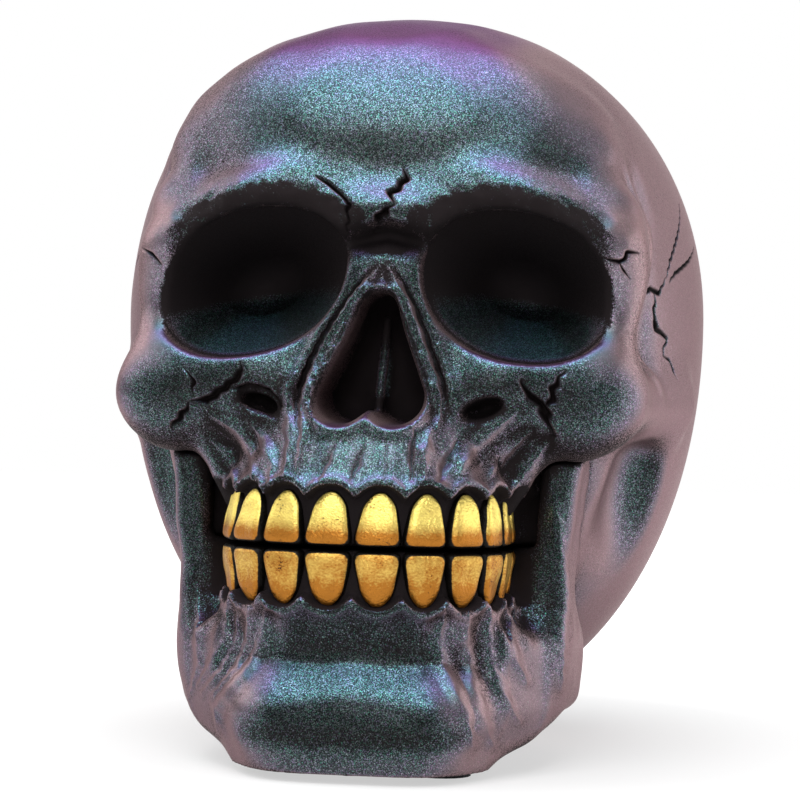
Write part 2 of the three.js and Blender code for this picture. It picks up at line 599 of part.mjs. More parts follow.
// Skin of a field: one point for each sheet in each crossed cell, one quad across each crossed edge
function skin(field, lines) {
  const n = lines.map((list) => list.length);
  const at = (i, j, k) => (k * n[1] + j) * n[0] + i;
  const value = new Float64Array(n[0] * n[1] * n[2]);
  for (let k = 0; k < n[2]; k += 1) {
    for (let j = 0; j < n[1]; j += 1) {
      for (let i = 0; i < n[0]; i += 1) {
        value[at(i, j, k)] = field(lines[0][i], lines[1][j], lines[2][k]);
      }
    }
  }
  const points = [];
  const cells = new Map();
  const openCell = (i, j, k) => {
    const low = [lines[0][i], lines[1][j], lines[2][k]];
    const high = [lines[0][i + 1], lines[1][j + 1], lines[2][k + 1]];
    const held = CORNERS.map((c) => value[at(i + c[0], j + c[1], k + c[2])]);
    const { crossed, sheet } = sheets(held.map((v) => v < 0));
    const inset = low.map((v, axis) => (high[axis] - v) * CELL_MARGIN);
    const floor = low.map((v, axis) => v + inset[axis]);
    const ceiling = high.map((v, axis) => v - inset[axis]);
    const made = new Map();
    return EDGES.map((edge, e) => {
      if (!crossed[e]) return -1;
      if (made.has(sheet[e])) return made.get(sheet[e]);
      const own = EDGES.filter((other, o) => crossed[o] && sheet[o] === sheet[e]);
      const middle = [0, 0, 0];
      for (const [p, q] of own) {
        const t = held[p] / (held[p] - held[q]);
        for (let axis = 0; axis < 3; axis += 1) {
          const share = mix(CORNERS[p][axis], CORNERS[q][axis], t);
          middle[axis] += mix(low[axis], high[axis], share) / own.length;
        }
      }
      points.push(...settle(field, middle, floor, ceiling));
      made.set(sheet[e], points.length / 3 - 1);
      return points.length / 3 - 1;
    });
  };
  const pointAt = (cell, edge) => {
    const key = at(...cell);
    if (!cells.has(key)) cells.set(key, openCell(...cell));
    return cells.get(key)[edge];
  };
  const reach = (p, q) => Math.hypot(...[0, 1, 2].map((a) => points[3 * p + a] - points[3 * q + a]));
  const faces = [];
  const turns = [[0, 0], [1, 0], [1, 1], [0, 1]];
  for (let k = 1; k < n[2] - 1; k += 1) {
    for (let j = 1; j < n[1] - 1; j += 1) {
      for (let i = 1; i < n[0] - 1; i += 1) {
        const inside = value[at(i, j, k)] < 0;
        for (let axis = 0; axis < 3; axis += 1) {
          const next = [i, j, k];
          next[axis] += 1;
          if (inside === value[at(...next)] < 0) continue;
          const [b, c] = [(axis + 1) % 3, (axis + 2) % 3];
          const ring = turns.map(([s, t]) => {
            const cell = [i, j, k];
            cell[b] -= 1 - s;
            cell[c] -= 1 - t;
            const near = [0, 0, 0];
            near[b] = 1 - s;
            near[c] = 1 - t;
            const edge = EDGES.findIndex(([p, q]) => CORNERS[p][b] === near[b] && CORNERS[p][c] === near[c]
              && CORNERS[q][axis] - CORNERS[p][axis] === 1);
            return pointAt(cell, edge);
          });
          if (!inside) ring.reverse();
          const [p, q, r, s] = ring;
          if (reach(p, r) < reach(q, s)) faces.push(p, q, r, p, r, s);
          else faces.push(p, q, s, q, r, s);
        }
      }
    }
  }
  const geometry = new THREE.BufferGeometry();
  geometry.setAttribute('position', new THREE.BufferAttribute(new Float32Array(points), 3));
  geometry.setIndex(faces);
  return geometry;
}

// The same skin pushed outward by a small distance
function swollen(geometry, distance) {
  const copy = geometry.clone();
  copy.computeVertexNormals();
  const p = copy.attributes.position;
  const normal = copy.attributes.normal;
  for (let i = 0; i < p.count; i += 1) {
    p.setXYZ(
      i,
      p.getX(i) + normal.getX(i) * distance,
      p.getY(i) + normal.getY(i) * distance,
      p.getZ(i) + normal.getZ(i) * distance);
  }
  copy.deleteAttribute('normal');
  return copy;
}

const wasm = await Module();
wasm.setup();

function solid(geometry) {
  const bare = geometry.clone();
  bare.deleteAttribute('normal');
  bare.deleteAttribute('uv');
  const welded = mergeVertices(bare, 1e-4);
  return new wasm.Manifold(new wasm.Mesh({
    numProp: 3,
    vertProperties: new Float32Array(welded.attributes.position.array),
    triVerts: new Uint32Array(welded.index.array) }));
}

function shape(body) {
  const mesh = body.getMesh();
  const geometry = new THREE.BufferGeometry();
  geometry.setAttribute('position', new THREE.BufferAttribute(new Float32Array(mesh.vertProperties), 3));
  geometry.setIndex(Array.from(mesh.triVerts));
  geometry.computeVertexNormals();
  return geometry;
}

// A point on the arch at a distance along it from the middle, with the outward direction there
function archPoint(distance) {
  const n = ARCH_SQUARENESS;
  const onCurve = (t) => {
    const c = Math.max(0, Math.cos(t)) ** (2 / n);
    const s = Math.max(0, Math.sin(t)) ** (2 / n);
    return new THREE.Vector2(ARCH_HALF_WIDTH * s, ARCH_BACK_Y - ARCH_DEPTH * c);
  };
  const steps = 400;
  let walked = 0;
  let last = onCurve(0);
  for (let i = 1; i <= steps; i += 1) {
    const next = onCurve((i / steps) * Math.PI / 2);
    const length = next.distanceTo(last);
    if (walked + length >= distance) {
      const along = next.clone().sub(last).normalize();
      const place = last.clone().lerp(next, (distance - walked) / length);
      return { place, outward: new THREE.Vector2(along.y, -along.x), along };
    }
    walked += length;
    last = next;
  }
  const place = new THREE.Vector2(ARCH_HALF_WIDTH, ARCH_BACK_Y + distance - walked);
  return { place, outward: new THREE.Vector2(1, 0), along: new THREE.Vector2(0, 1) };
}

// One tooth: a squared pebble, wide at the bite and narrow at the gum
function toothGeometry(order, side, upper, grow) {
  const pitch = TOOTH_PITCHES[order];
  const before = TOOTH_PITCHES.slice(0, order).reduce((sum, w) => sum + w, 0);
  const { place, outward, along } = archPoint(before + pitch / 2);
  const height = upper ? UPPER_TOOTH_HEIGHT : LOWER_TOOTH_HEIGHT;
  const rise = upper ? 1 : -1;
  const centreZ = BITE_Z + rise * (BITE_GAP / 2 + height / 2);
  const half = new THREE.Vector3((pitch - TOOTH_GAP) / 2 + grow, TOOTH_DEPTH / 2 + grow, height / 2 + grow);
  const geometry = new THREE.SphereGeometry(1, TOOTH_SEGMENTS, TOOTH_ROWS);
  geometry.deleteAttribute('normal');
  geometry.deleteAttribute('uv');
  const p = geometry.attributes.position;
  const n = TOOTH_SQUARENESS;
  for (let i = 0; i < p.count; i += 1) {
    const v = new THREE.Vector3().fromBufferAttribute(p, i);
    v.divideScalar((Math.abs(v.x) ** n + Math.abs(v.y) ** n + Math.abs(v.z) ** n) ** (1 / n));
    const narrowing = mix(TOOTH_ROOT, 1, clamp01(TOOTH_ROOT_SPREAD * (v.y + 1)));
    const width = half.x * narrowing * mix(TOOTH_FLARE, TOOTH_NECK, (v.z * rise + 1) / 2);
    const lean = TOOTH_FACE_LEAN * (v.z * rise + 1) / 2;
    const depth = v.y * half.y - TOOTH_DEPTH / 2 + TOOTH_PROUD - lean;
    const y = place.y + along.y * v.x * width + outward.y * depth;
    const z = centreZ + v.z * half.z;
    const x = side * (place.x + along.x * v.x * width + outward.x * depth);
    p.setXYZ(i, x + faceMiddle(y, z), y, z);
  }
  if (side > 0) geometry.index.array.reverse();
  return geometry;
}

function drum(radius, bottom, top, x, y, segments) {
  const geometry = new THREE.CylinderGeometry(radius, radius, top - bottom, segments);
  geometry.rotateX(Math.PI / 2);
  geometry.translate(x, y, (bottom + top) / 2);
  return geometry;
}

const group = new THREE.Group();

function place(name, geometry, material) {
  const mesh = new THREE.Mesh(geometry, material);
  mesh.name = name;
  group.add(mesh);
}

const paint = new THREE.MeshStandardMaterial({ color: 0x3f6d78, roughness: 0.32, metalness: 0.55 });
const gilt = new THREE.MeshStandardMaterial({ color: 0xd9a13a, roughness: 0.3, metalness: 0.85 });
const rubber = new THREE.MeshStandardMaterial({ color: 0x2a2a2c, roughness: 0.8, metalness: 0 });
const felt = new THREE.MeshStandardMaterial({ color: 0x1f1f22, roughness: 0.95, metalness: 0 });

const bottom = BASE_Z - 3 * BASE_SPARE;
const reach = CRANIUM_WIDTH / 2 + BACK_STEP;
const faceTop = ORBIT_Z + ORBIT_HEIGHT;
const craniumSkin = skin(craniumField, [
  mirroredLines(reach, SIDE_STEP),
  gridLines([
    [ARCH_FRONT_Y - 2 * FACE_STEP, MOUTH_BACK_Y, FACE_STEP],
    [MOUTH_BACK_Y, CRANIUM_BACK_Y + BACK_STEP, BACK_STEP]]),
  gridLines([
    [bottom, BITE_Z, SIDE_STEP],
    [BITE_Z, faceTop, FACE_STEP],
    [faceTop, CRANIUM_TOP + BACK_STEP, BACK_STEP]])]);
const cavitySkin = skin(cavityField, [
  mirroredLines(reach, CAVITY_STEP),
  gridLines([[ARCH_FRONT_Y, CRANIUM_BACK_Y + CAVITY_STEP, CAVITY_STEP]]),
  gridLines([[bottom, CRANIUM_TOP + CAVITY_STEP, CAVITY_STEP]])]);
const jawSkin = skin(jawField, [
  mirroredLines(reach, JAW_STEP),
  gridLines([[CHIN_FRONT_Y - 2 * JAW_STEP, JAW_ANGLE_Y + 4 * JAW_STEP, JAW_STEP]]),
  gridLines([[bottom, RAMUS_TOP_Z + 3 * JAW_STEP, JAW_STEP]])]);

const under = new THREE.BoxGeometry(2 * CRANIUM_LENGTH, 2 * CRANIUM_LENGTH, CRANIUM_LENGTH);
under.translate(0, 0, BASE_Z - CRANIUM_LENGTH / 2);
const sanding = solid(under);
let cranium = solid(craniumSkin).subtract(sanding).subtract(solid(cavitySkin));
let jaw = solid(jawSkin).subtract(sanding).subtract(solid(swollen(craniumSkin, JAW_BOND_GAP)));

// The stepped casting hole and its plug
const ledgeZ = BASE_Z + HOLE_RIM_DEPTH;
const holeTopZ = ledgeZ + 2 * PLUG_LENGTH;
const hole = solid(drum(HOLE_RADIUS, BASE_Z - CUT_SPARE, holeTopZ, 0, FOOT_Y, HOLE_SEGMENTS));
const holeRim = solid(drum(HOLE_RIM_RADIUS, BASE_Z - CUT_SPARE, ledgeZ, 0, FOOT_Y, HOLE_SEGMENTS));
cranium = cranium.subtract(hole).subtract(holeRim);
const plugRadius = HOLE_RADIUS - PLUG_CLEARANCE;
const flangeRadius = HOLE_RIM_RADIUS - PLUG_CLEARANCE;
const flangeTopZ = ledgeZ - GLUE_LINE;
const flange = solid(drum(flangeRadius, BASE_Z, flangeTopZ, 0, FOOT_Y, HOLE_SEGMENTS));
const spigotZ = BASE_Z + HOLE_RIM_DEPTH / 2;
const spigot = solid(drum(plugRadius, spigotZ, ledgeZ + PLUG_LENGTH, 0, FOOT_Y, HOLE_SEGMENTS));
const plug = spigot.add(flange);

const teeth = [];
for (const upper of [true, false]) {
  for (const side of [-1, 1]) {
    for (let order = 0; order < TOOTH_PITCHES.length; order += 1) {
      const socket = solid(toothGeometry(order, side, upper, TOOTH_CLEARANCE));
      if (upper) cranium = cranium.subtract(socket);
      else jaw = jaw.subtract(socket);
      const name = `tooth_${upper ? 'upper' : 'lower'}_${side < 0 ? 'right' : 'left'}_${order + 1}`;
      teeth.push([name, shape(solid(toothGeometry(order, side, upper, 0)))]);
    }
  }
}

// Felt feet glued in shallow recesses: two under the chin, two under the foot of the cranium
const pads = [];
for (const [end, y] of [['front', PAD_FRONT_Y], ['back', PAD_BACK_Y]]) {
  for (const side of [-1, 1]) {
    const x = side * PAD_SPREAD;
    const recessTop = PAD_THICKNESS + GLUE_LINE;
    const recess = solid(drum(PAD_RADIUS + PAD_CLEARANCE, BASE_Z - CUT_SPARE, recessTop, x, y, PAD_SEGMENTS));
    if (end === 'front') jaw = jaw.subtract(recess);
    else cranium = cranium.subtract(recess);
    const name = `pad_${end}_${side < 0 ? 'right' : 'left'}`;
    pads.push([name, shape(solid(drum(PAD_RADIUS, 0, PAD_THICKNESS, x, y, PAD_SEGMENTS)))]);
  }
}

place('cranium', shape(cranium), paint);
place('mandible', shape(jaw), paint);
for (const [name, geometry] of teeth) place(name, geometry, gilt);
place('base_plug', shape(plug), rubber);
for (const [name, geometry] of pads) place(name, geometry, felt);

export default group;
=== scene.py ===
"""A cast-resin skull ornament: colour-shift paint, a black wash with painted shade and highlights, carved
cracks and gilded teeth.

Sizes in the classes are millimetres in the frame of the part: +Z up, the face along -Y, the skull's
own left along +X. Meshes are made in metres.
"""

import functools
import itertools
import logging
import math
from collections.abc import Callable, Sequence
from dataclasses import dataclass, field
from enum import Enum

import bmesh
import bpy
import numpy as np
from mathutils import Matrix, Vector

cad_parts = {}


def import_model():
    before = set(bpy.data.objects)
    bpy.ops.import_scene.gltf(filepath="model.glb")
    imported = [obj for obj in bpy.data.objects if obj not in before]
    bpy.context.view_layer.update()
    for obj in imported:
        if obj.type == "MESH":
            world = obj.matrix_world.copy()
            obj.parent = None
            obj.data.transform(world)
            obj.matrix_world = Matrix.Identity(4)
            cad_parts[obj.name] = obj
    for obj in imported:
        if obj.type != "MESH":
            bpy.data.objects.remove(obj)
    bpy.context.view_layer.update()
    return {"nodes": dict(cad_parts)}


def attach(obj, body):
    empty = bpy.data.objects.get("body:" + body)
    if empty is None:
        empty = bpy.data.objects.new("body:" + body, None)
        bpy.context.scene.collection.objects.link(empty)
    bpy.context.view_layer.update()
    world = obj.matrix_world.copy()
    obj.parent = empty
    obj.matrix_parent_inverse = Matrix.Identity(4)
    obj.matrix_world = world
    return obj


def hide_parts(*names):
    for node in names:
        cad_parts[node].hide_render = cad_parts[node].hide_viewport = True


MM = 0.001
SLAB = 12
SLOPE_STEP = 0.04
SLOPE_FLOOR = 0.05
# For each axis of the hand-made lumps: its pace, and the bend, pace and start of its sway
LUMP_WAVES = ((1.0, 1.7, 0.62, 0.4), (0.91, 1.3, 0.71, 1.1), (1.07, 1.5, 0.57, 2.3))

Array = np.ndarray
Form = Callable[[Array, Array, Array], Array]
# Where a ramp starts and ends, or another pair of values
Span = tuple[float, float]
Size = tuple[float, float, float]
# Height, centre and width of a bell
Swell = tuple[float, float, float]
# A place on the axis of a rod, and the radius there
Knot = tuple[float, float, float, float]
# Positions on a colour ramp with their sRGB hex
Stops = tuple[tuple[float, str], ...]
Input = bpy.types.NodeSocket | float | tuple[float, ...]
log = logging.getLogger("skull")


class Elevation(Enum):
    """The side from which a crack is drawn."""

    FRONT = 0
    SIDE = 1


class Slot(Enum):
    """The material slots."""

    PAINT = "colour_shift_paint"
    GILDING = "gilding"
    RUBBER = "plug_rubber"
    FELT = "felt"


def mix(a: float | Array, b: float | Array, t: float | Array) -> float | Array:
    """A value between a and b at share t."""
    return a + (b - a) * t


def ramp(a: float, b: float, v: Array) -> Array:
    """A smooth step from 0 at a to 1 at b, which may run either way."""
    t = np.clip((v - a) / (b - a), 0.0, 1.0)
    return t * t * (3.0 - 2.0 * t)


def bump(v: Array, centre: float, width: float) -> Array:
    """A bell of height 1 about a centre."""
    t = (v - centre) / width
    return np.exp(-t * t)


def swells(v: Array, rows: tuple[Swell, ...]) -> Array:
    """The sum of several bells, sunk where their height is below 0."""
    return sum(height * bump(v, centre, width) for height, centre, width in rows)


def join(a: Array, b: Array, seam: float) -> Array:
    """Union of two distances with a rounded seam of that width."""
    h = np.maximum(seam - np.abs(a - b), 0.0) / seam
    return np.minimum(a, b) - h * h * seam * 0.25


def cut(a: Array, b: Array, seam: float) -> Array:
    """Distance a with b taken away, the edge rounded by the seam."""
    return -join(-a, b, seam)


def meet(a: Array, b: Array, seam: float) -> Array:
    """What two distances have in common, the edge rounded by the seam."""
    return -join(-a, -b, seam)


def ellipsoid(dx: Array, dy: Array, dz: Array, rx: float, ry: float, rz: float | Array) -> Array:
    """Near distance to an ellipsoid with those half sizes."""
    k0 = np.sqrt((dx / rx) ** 2 + (dy / ry) ** 2 + (dz / rz) ** 2)
    k1 = np.sqrt((dx / rx**2) ** 2 + (dy / ry**2) ** 2 + (dz / rz**2) ** 2)
    return k0 * (k0 - 1.0) / np.maximum(k1, 1e-6)


def pebble(
    dx: Array, dy: Array, dz: Array, rx: float | Array, ry: float, rz: float | Array, n: float,
) -> Array:
    """Near distance to a squared ellipsoid with those half sizes and that squareness."""
    u, v, w = np.abs(dx / rx), np.abs(dy / ry), np.abs(dz / rz)
    size = np.maximum((u**n + v**n + w**n) ** (1.0 / n), 1e-3)
    steep = np.sqrt((u ** (n - 1) / rx) ** 2 + (v ** (n - 1) / ry) ** 2 + (w ** (n - 1) / rz) ** 2)
    return (size - 1.0) / np.maximum(size ** (1.0 - n) * steep, 1e-3)


def rod(x: Array, y: Array, z: Array, points: Sequence[Knot]) -> Array:
    """Distance to a rounded rod through a row of points.

    Args:
        x, y, z: Places.
        points: Places on the rod's axis, each with its radius.

    Returns:
        Distance, negative inside.
    """
    best = None
    for (ax, ay, az, ar), (bx, by, bz, br) in itertools.pairwise(points):
        ux, uy, uz = bx - ax, by - ay, bz - az
        share = ((x - ax) * ux + (y - ay) * uy + (z - az) * uz) / (ux * ux + uy * uy + uz * uz)
        t = np.clip(share, 0.0, 1.0)
        away = np.sqrt((x - ax - ux * t) ** 2 + (y - ay - uy * t) ** 2 + (z - az - uz * t) ** 2)
        d = away - mix(ar, br, t)
        best = d if best is None else np.minimum(best, d)
    return best


def square_norm(u: Array, v: Array, n: float) -> Array:
    """Radius of a squared circle through (u, v)."""
    return (np.abs(u) ** n + np.abs(v) ** n) ** (1.0 / n)


def lumps(x: Array, y: Array, z: Array, size: float) -> Array:
    """Soft hand-made unevenness between -1 and 1, with lumps of about that size."""
    k = math.pi / size
    total = 0.0
    for (along, across), (pace, bend, sway, start) in zip(((x, z), (y, x), (z, y)), LUMP_WAVES):
        total = total + np.sin(pace * k * along + bend * np.sin(sway * k * across + start))
    return total / len(LUMP_WAVES)


def grit(x: Array, y: Array, z: Array, coarse: Span, fine: Span) -> Array:
    """Coarse and fine lumps together, each given as (depth, size)."""
    return coarse[0] * lumps(x, y, z, coarse[1]) + fine[0] * lumps(z, x, y, fine[1])


def patch(x: Array, y: Array, z: Array, place: Span, half: Span, ragged: Span) -> Array:
    """Radius in a ragged oval on the face: 1 at its edge.

    Args:
        x, y, z: Places.
        place: The middle of the oval, across and up.
        half: Its half sizes.
        ragged: Depth and size of the lumps of its edge.

    Returns:
        One radius for each place.
    """
    oval = square_norm((x - place[0]) / half[0], (z - place[1]) / half[1], 2)
    return oval + ragged[0] * lumps(x, y, z, ragged[1])


def lines(*stretches: tuple[float, float, float]) -> Array:
    """Lines of a grid along one axis, from stretches given as (from, to, step)."""
    rows = [np.array([stretches[0][0]])]
    for start, end, step in stretches:
        count = max(1, math.ceil((end - start) / step))
        rows.append(start + (end - start) * np.arange(1, count + 1) / count)
    return np.concatenate(rows)


def slope(form: Form, points: Array) -> tuple[Array, Array]:
    """Distance and its slope at points."""
    e = SLOPE_STEP
    x, y, z = points.T
    gx = (form(x + e, y, z) - form(x - e, y, z)) / (2 * e)
    gy = (form(x, y + e, z) - form(x, y - e, z)) / (2 * e)
    gz = (form(x, y, z + e) - form(x, y, z - e)) / (2 * e)
    return form(x, y, z), np.stack([gx, gy, gz], axis=1)


def settle(form: Form, points: Array, reach: float, passes: int = 3) -> tuple[Array, Array]:
    """Moves points onto the surface of a form.

    Args:
        form: The form.
        points: Places near its surface.
        reach: The longest move in one pass.
        passes: How often to correct.

    Returns:
        The moved points and the outward normals there.
    """
    for _ in range(passes):
        d, g = slope(form, points)
        size = np.maximum(np.sum(g * g, axis=1), SLOPE_FLOOR)
        move = -np.clip(d / np.sqrt(size), -reach, reach)
        points = points + g * (move / np.sqrt(size))[:, None]
    g = slope(form, points)[1]
    return points, g / np.maximum(np.linalg.norm(g, axis=1), 1e-6)[:, None]


def skin(form: Form, axes: tuple[Array, Array, Array]) -> tuple[Array, Array]:
    """The closed skin of a form: one point in each crossed cell of a grid, one quad on each crossed edge.

    Args:
        form: The form, positive all round the edge of the grid.
        axes: The grid's lines along X, Y and Z.

    Returns:
        Points and quads.
    """
    xs, ys, zs = (a.astype(np.float32) for a in axes)
    value = np.empty((len(xs), len(ys), len(zs)), np.float32)
    for start in range(0, len(xs), SLAB):
        part = xs[start:start + SLAB, None, None]
        value[start:start + SLAB] = form(part, ys[None, :, None], zs[None, None, :])
    inside = value < 0
    shape = tuple(n - 1 for n in value.shape)
    corners = list(itertools.product((0, 1), repeat=3))
    held = np.zeros(shape, np.int8)
    for i, j, k in corners:
        held += inside[i:i + shape[0], j:j + shape[1], k:k + shape[2]]
    crossed = (held > 0) & (held < 8)
    cells = np.argwhere(crossed)
    number = np.full(shape, -1, np.int32)
    number[crossed] = np.arange(len(cells))
    total = np.zeros((len(cells), 3))
    hits = np.zeros(len(cells))
    for p, q in itertools.combinations(corners, 2):
        if sum(abs(a - b) for a, b in zip(p, q)) != 1:
            continue
        a, b = cells + p, cells + q
        va, vb = value[tuple(a.T)], value[tuple(b.T)]
        on = (va < 0) != (vb < 0)
        t = np.where(on, va / np.where(on, va - vb, 1.0), 0.0)
        for n, axis in enumerate(axes):
            total[:, n] += np.where(on, mix(axis[a[:, n]], axis[b[:, n]], t), 0.0)
        hits += on
    quads = []
    for n in range(3):
        before = np.take(inside, range(value.shape[n] - 1), axis=n)
        after = np.take(inside, range(1, value.shape[n]), axis=n)
        edges = np.argwhere(before != after)
        m, r = (n + 1) % 3, (n + 2) % 3
        ring = []
        for s, t in ((1, 1), (0, 1), (0, 0), (1, 0)):
            cell = edges.copy()
            cell[:, m] -= s
            cell[:, r] -= t
            ring.append(number[tuple(cell.T)])
        ring = np.stack(ring, axis=1)
        outward = before[tuple(edges.T)]
        ring[~outward] = ring[~outward][:, ::-1]
        quads.append(ring)
    return total / hits[:, None], np.concatenate(quads)


def mesh_object(name: str, points: Array, faces: Array, **values: Array) -> bpy.types.Object:
    """A smooth mesh in the scene, in metres.

    Args:
        name: Name of the piece.
        points: Places in millimetres.
        faces: Rows of point numbers, all of one length.
        values: One number for each point, for the paint to read.

    Returns:
        The object.
    """
    mesh = bpy.data.meshes.new(name)
    mesh.from_pydata((points * MM).tolist(), [], faces.tolist())
    for key, value in values.items():
        layer = mesh.attributes.new(key, "FLOAT", "POINT")
        layer.data.foreach_set("value", np.ascontiguousarray(value, np.float32))
    mesh.shade_smooth()
    mesh.update()
    piece = bpy.data.objects.new(name, mesh)
    bpy.context.scene.collection.objects.link(piece)
    return piece


@dataclass(frozen=True)
class DentalArch:
    """The curve that the teeth of both jaws stand on, seen from above."""

    half_width: float = 23.2
    depth: float = 21.0
    front_y: float = -66.0
    squareness: float = 2.5
    side_end_y: float = -28.0
    side_seam: float = 5.0
    bite_z: float = 36.0
    bite_gap: float = 0.6
    upper_gum_z: float = 45.4
    lower_gum_z: float = 27.2
    tooth_bed: float = 1.8
    upper_gum_lean: float = 0.5
    lower_gum_lean: float = 0.6
    scallop: float = 2.2
    scallop_middle: float = 0.35
    scallop_power: float = 2.4
    bed_slope: Span = (0.0, -0.9)
    gum_lip: Swell = (0.45, 0.6, 0.7)
    root_start: Span = (0.6, 2.6)
    lower_gum_height: float = 9.0
    way_step: float = 0.2
    face_lean: float = 0.05
    lean_z: float = 57.0
    lean_top_z: float = 88.0
    lean_back: float = 0.13
    chin_lean_top_z: float = 38.0
    chin_lean_back: float = 0.01
    lean_front_y: float = -45.0
    lean_end_y: float = -15.0
    pitches: tuple[float, ...] = (7.9, 7.3, 7.2, 6.2, 6.0, 5.6)

    @property
    def back_y(self) -> float:
        """Where the front curve runs into the straight sides."""
        return self.front_y + self.depth

    def plan(self, x: Array, y: Array, inset: float | Array) -> Array:
        """Distance to the arch's outline seen from above, drawn in by the inset."""
        half = self.half_width - inset
        depth = self.depth - inset
        ahead = np.maximum(self.back_y - y, 0.0) / depth
        front = (square_norm(x / half, ahead, self.squareness) - 1.0) * depth
        side = meet(x - half, y - self.side_end_y, self.side_seam)
        return np.where(y > self.back_y, side, front)

    def curve(self, steps: int = 240) -> tuple[Array, Array]:
        """Places on one side of the front curve, from the middle out, and their distance along it."""
        t = np.linspace(0.0, math.pi / 2, steps)
        c, s = np.maximum(np.cos(t), 0.0), np.maximum(np.sin(t), 0.0)
        power = 2 / self.squareness
        places = np.stack([self.half_width * s**power, self.back_y - self.depth * c**power], axis=1)
        walked = np.concatenate([[0.0], np.cumsum(np.linalg.norm(np.diff(places, axis=0), axis=1))])
        return places, walked

    def along(self, x: Array, y: Array) -> Array:
        """Distance along the arch from the middle to the place nearest to a point."""
        places, walked = self.curve()
        turn = np.arctan2(places[:, 0], self.back_y - places[:, 1])
        here = np.arctan2(np.abs(x), np.maximum(self.back_y - y, 0.0))
        return np.interp(here, turn, walked) + np.maximum(y - self.back_y, 0.0)

    def phase(self, distance: Array) -> Array:
        """Place within the tooth at a distance along the arch: 0 in its middle, 0.5 at the gaps."""
        edges = np.concatenate([[0.0], np.cumsum(self.pitches)])
        turns = np.arange(len(edges), dtype=float)
        count = np.interp(distance, edges, turns)
        count = count + np.maximum(distance - edges[-1], 0.0) / self.pitches[-1]
        return count - np.floor(count) - 0.5

    def lean(self, y: Array, z: Array) -> Array:
        """How far the face stands off the middle: to its left at the brow, to its right at the teeth."""
        face = self.face_lean * (np.clip(z, self.chin_lean_top_z, self.lean_top_z) - self.lean_z)
        chin = self.chin_lean_back * np.maximum(self.chin_lean_top_z - z, 0.0)
        crown = self.lean_back * np.maximum(z - self.lean_top_z, 0.0)
        return (face + chin - crown) * ramp(self.lean_end_y, self.lean_front_y, y)

    def gum_line(self, phase: Array) -> Array:
        """How far the gum draws back from the bite: most over the middle of each tooth."""
        return self.scallop * (self.scallop_middle - (2.0 * np.abs(phase)) ** self.scallop_power)

    def past_gum(self, over: Array, distance: Array) -> Array:
        """How far a height lies past the edge of the gum, counted away from the bite."""
        return over - self.gum_line(self.phase(distance))

    def gum_edge(self, over: Array, distance: Array) -> tuple[Array, Array]:
        """How far the gum is drawn in behind the teeth, and how far its lip swells over them."""
        edge = self.past_gum(over, distance)
        return self.tooth_bed * ramp(*self.bed_slope, edge), swells(edge, (self.gum_lip,))

    def roots(self, over: Array, distance: Array, end: Span) -> Array:
        """The swellings of the gum over the roots, from -1 between the teeth to 1 over them."""
        wave = np.cos(2 * math.pi * self.phase(distance))
        return wave * ramp(*self.root_start, over) * ramp(*end, over)

    def stand(self, distance: float) -> tuple[Array, Array, Array]:
        """A place on the arch, with the directions along and out of it there.

        Args:
            distance: Distance along the arch from the middle.

        Returns:
            The place, the unit direction along the arch and the unit direction outward.
        """
        places, walked = self.curve()
        past = max(0.0, distance - walked[-1])
        place = np.array([np.interp(distance, walked, places[:, n]) for n in range(2)]) + (0.0, past)
        behind, ahead = (
            np.array([np.interp(distance + step, walked, places[:, n]) for n in range(2)])
            for step in (-self.way_step, self.way_step))
        way = np.array([0.0, 1.0]) if past > 0 else ahead - behind
        way = way / np.linalg.norm(way)
        return place, way, np.array([way[1], -way[0]])


@dataclass(frozen=True)
class Carving:
    """A line sunk into a casting, or raised from it, drawn on the skull's front or side elevation."""

    elevation: Elevation
    points: tuple[tuple[float, float], ...]
    width: float = 0.42
    depth: float = 0.8
    side: int = 0
    black: float = 1.0
    wander: float = 0.25
    wander_waves: Span = (1.7, 2.3)
    side_from_x: float = 20.0
    facing_from: float = 0.05
    facing_full: float = 0.35
    fade: float = 3.0
    unseen: float = 99.0

    def distance(self, points: Array, normals: Array) -> Array:
        """Distance from points of a skin to the line, far where the skin faces elsewhere.

        Args:
            points: Places on the skin.
            normals: Outward normals there.

        Returns:
            One distance for each point, longer by the line's width at its two ends.
        """
        if self.elevation is Elevation.FRONT:
            across, facing = points[:, 0], -normals[:, 1]
            near = points[:, 1] < 0.0
        else:
            across, facing = points[:, 1], normals[:, 0] * self.side
            near = points[:, 0] * self.side > self.side_from_x
        ends = (0, len(self.points) - 1)
        row = [(a, 0.0, z, -self.width if i in ends else 0.0) for i, (a, z) in enumerate(self.points)]
        sideways, upward = self.wander_waves
        shift = self.wander * np.sin(points[:, 2] * upward + across * sideways)
        d = rod(across + shift, np.zeros(len(points)), points[:, 2], row)
        d = d + self.fade * self.width * ramp(self.facing_full, self.facing_from, facing)
        return np.where((facing > self.facing_from) & near, d, self.unseen)


def crack(width: float, depth: float, *points: tuple[float, float], side: int = 0) -> Carving:
    """A crack on the front, or on a side: 1 for the skull's left, -1 for its right."""
    return Carving(Elevation.SIDE if side else Elevation.FRONT, points, width, depth, side)


def cord(*points: tuple[float, float], width: float = 0.7, height: float = 0.6) -> Carving:
    """A cord of bone raised from the face."""
    return Carving(Elevation.FRONT, points, width, -height, black=0.0, wander=0.1)


def fold(*points: tuple[float, float]) -> Carving:
    """A broad soft fold of the jaws."""
    return cord(*points, width=1.0, height=0.6)


def groove(
    *points: tuple[float, float], width: float = 0.6, depth: float = 0.4, black: float = 0.3,
) -> Carving:
    """A soft groove in the face, blackened by that share."""
    return Carving(Elevation.FRONT, points, width, depth, black=black, wander=0.1)


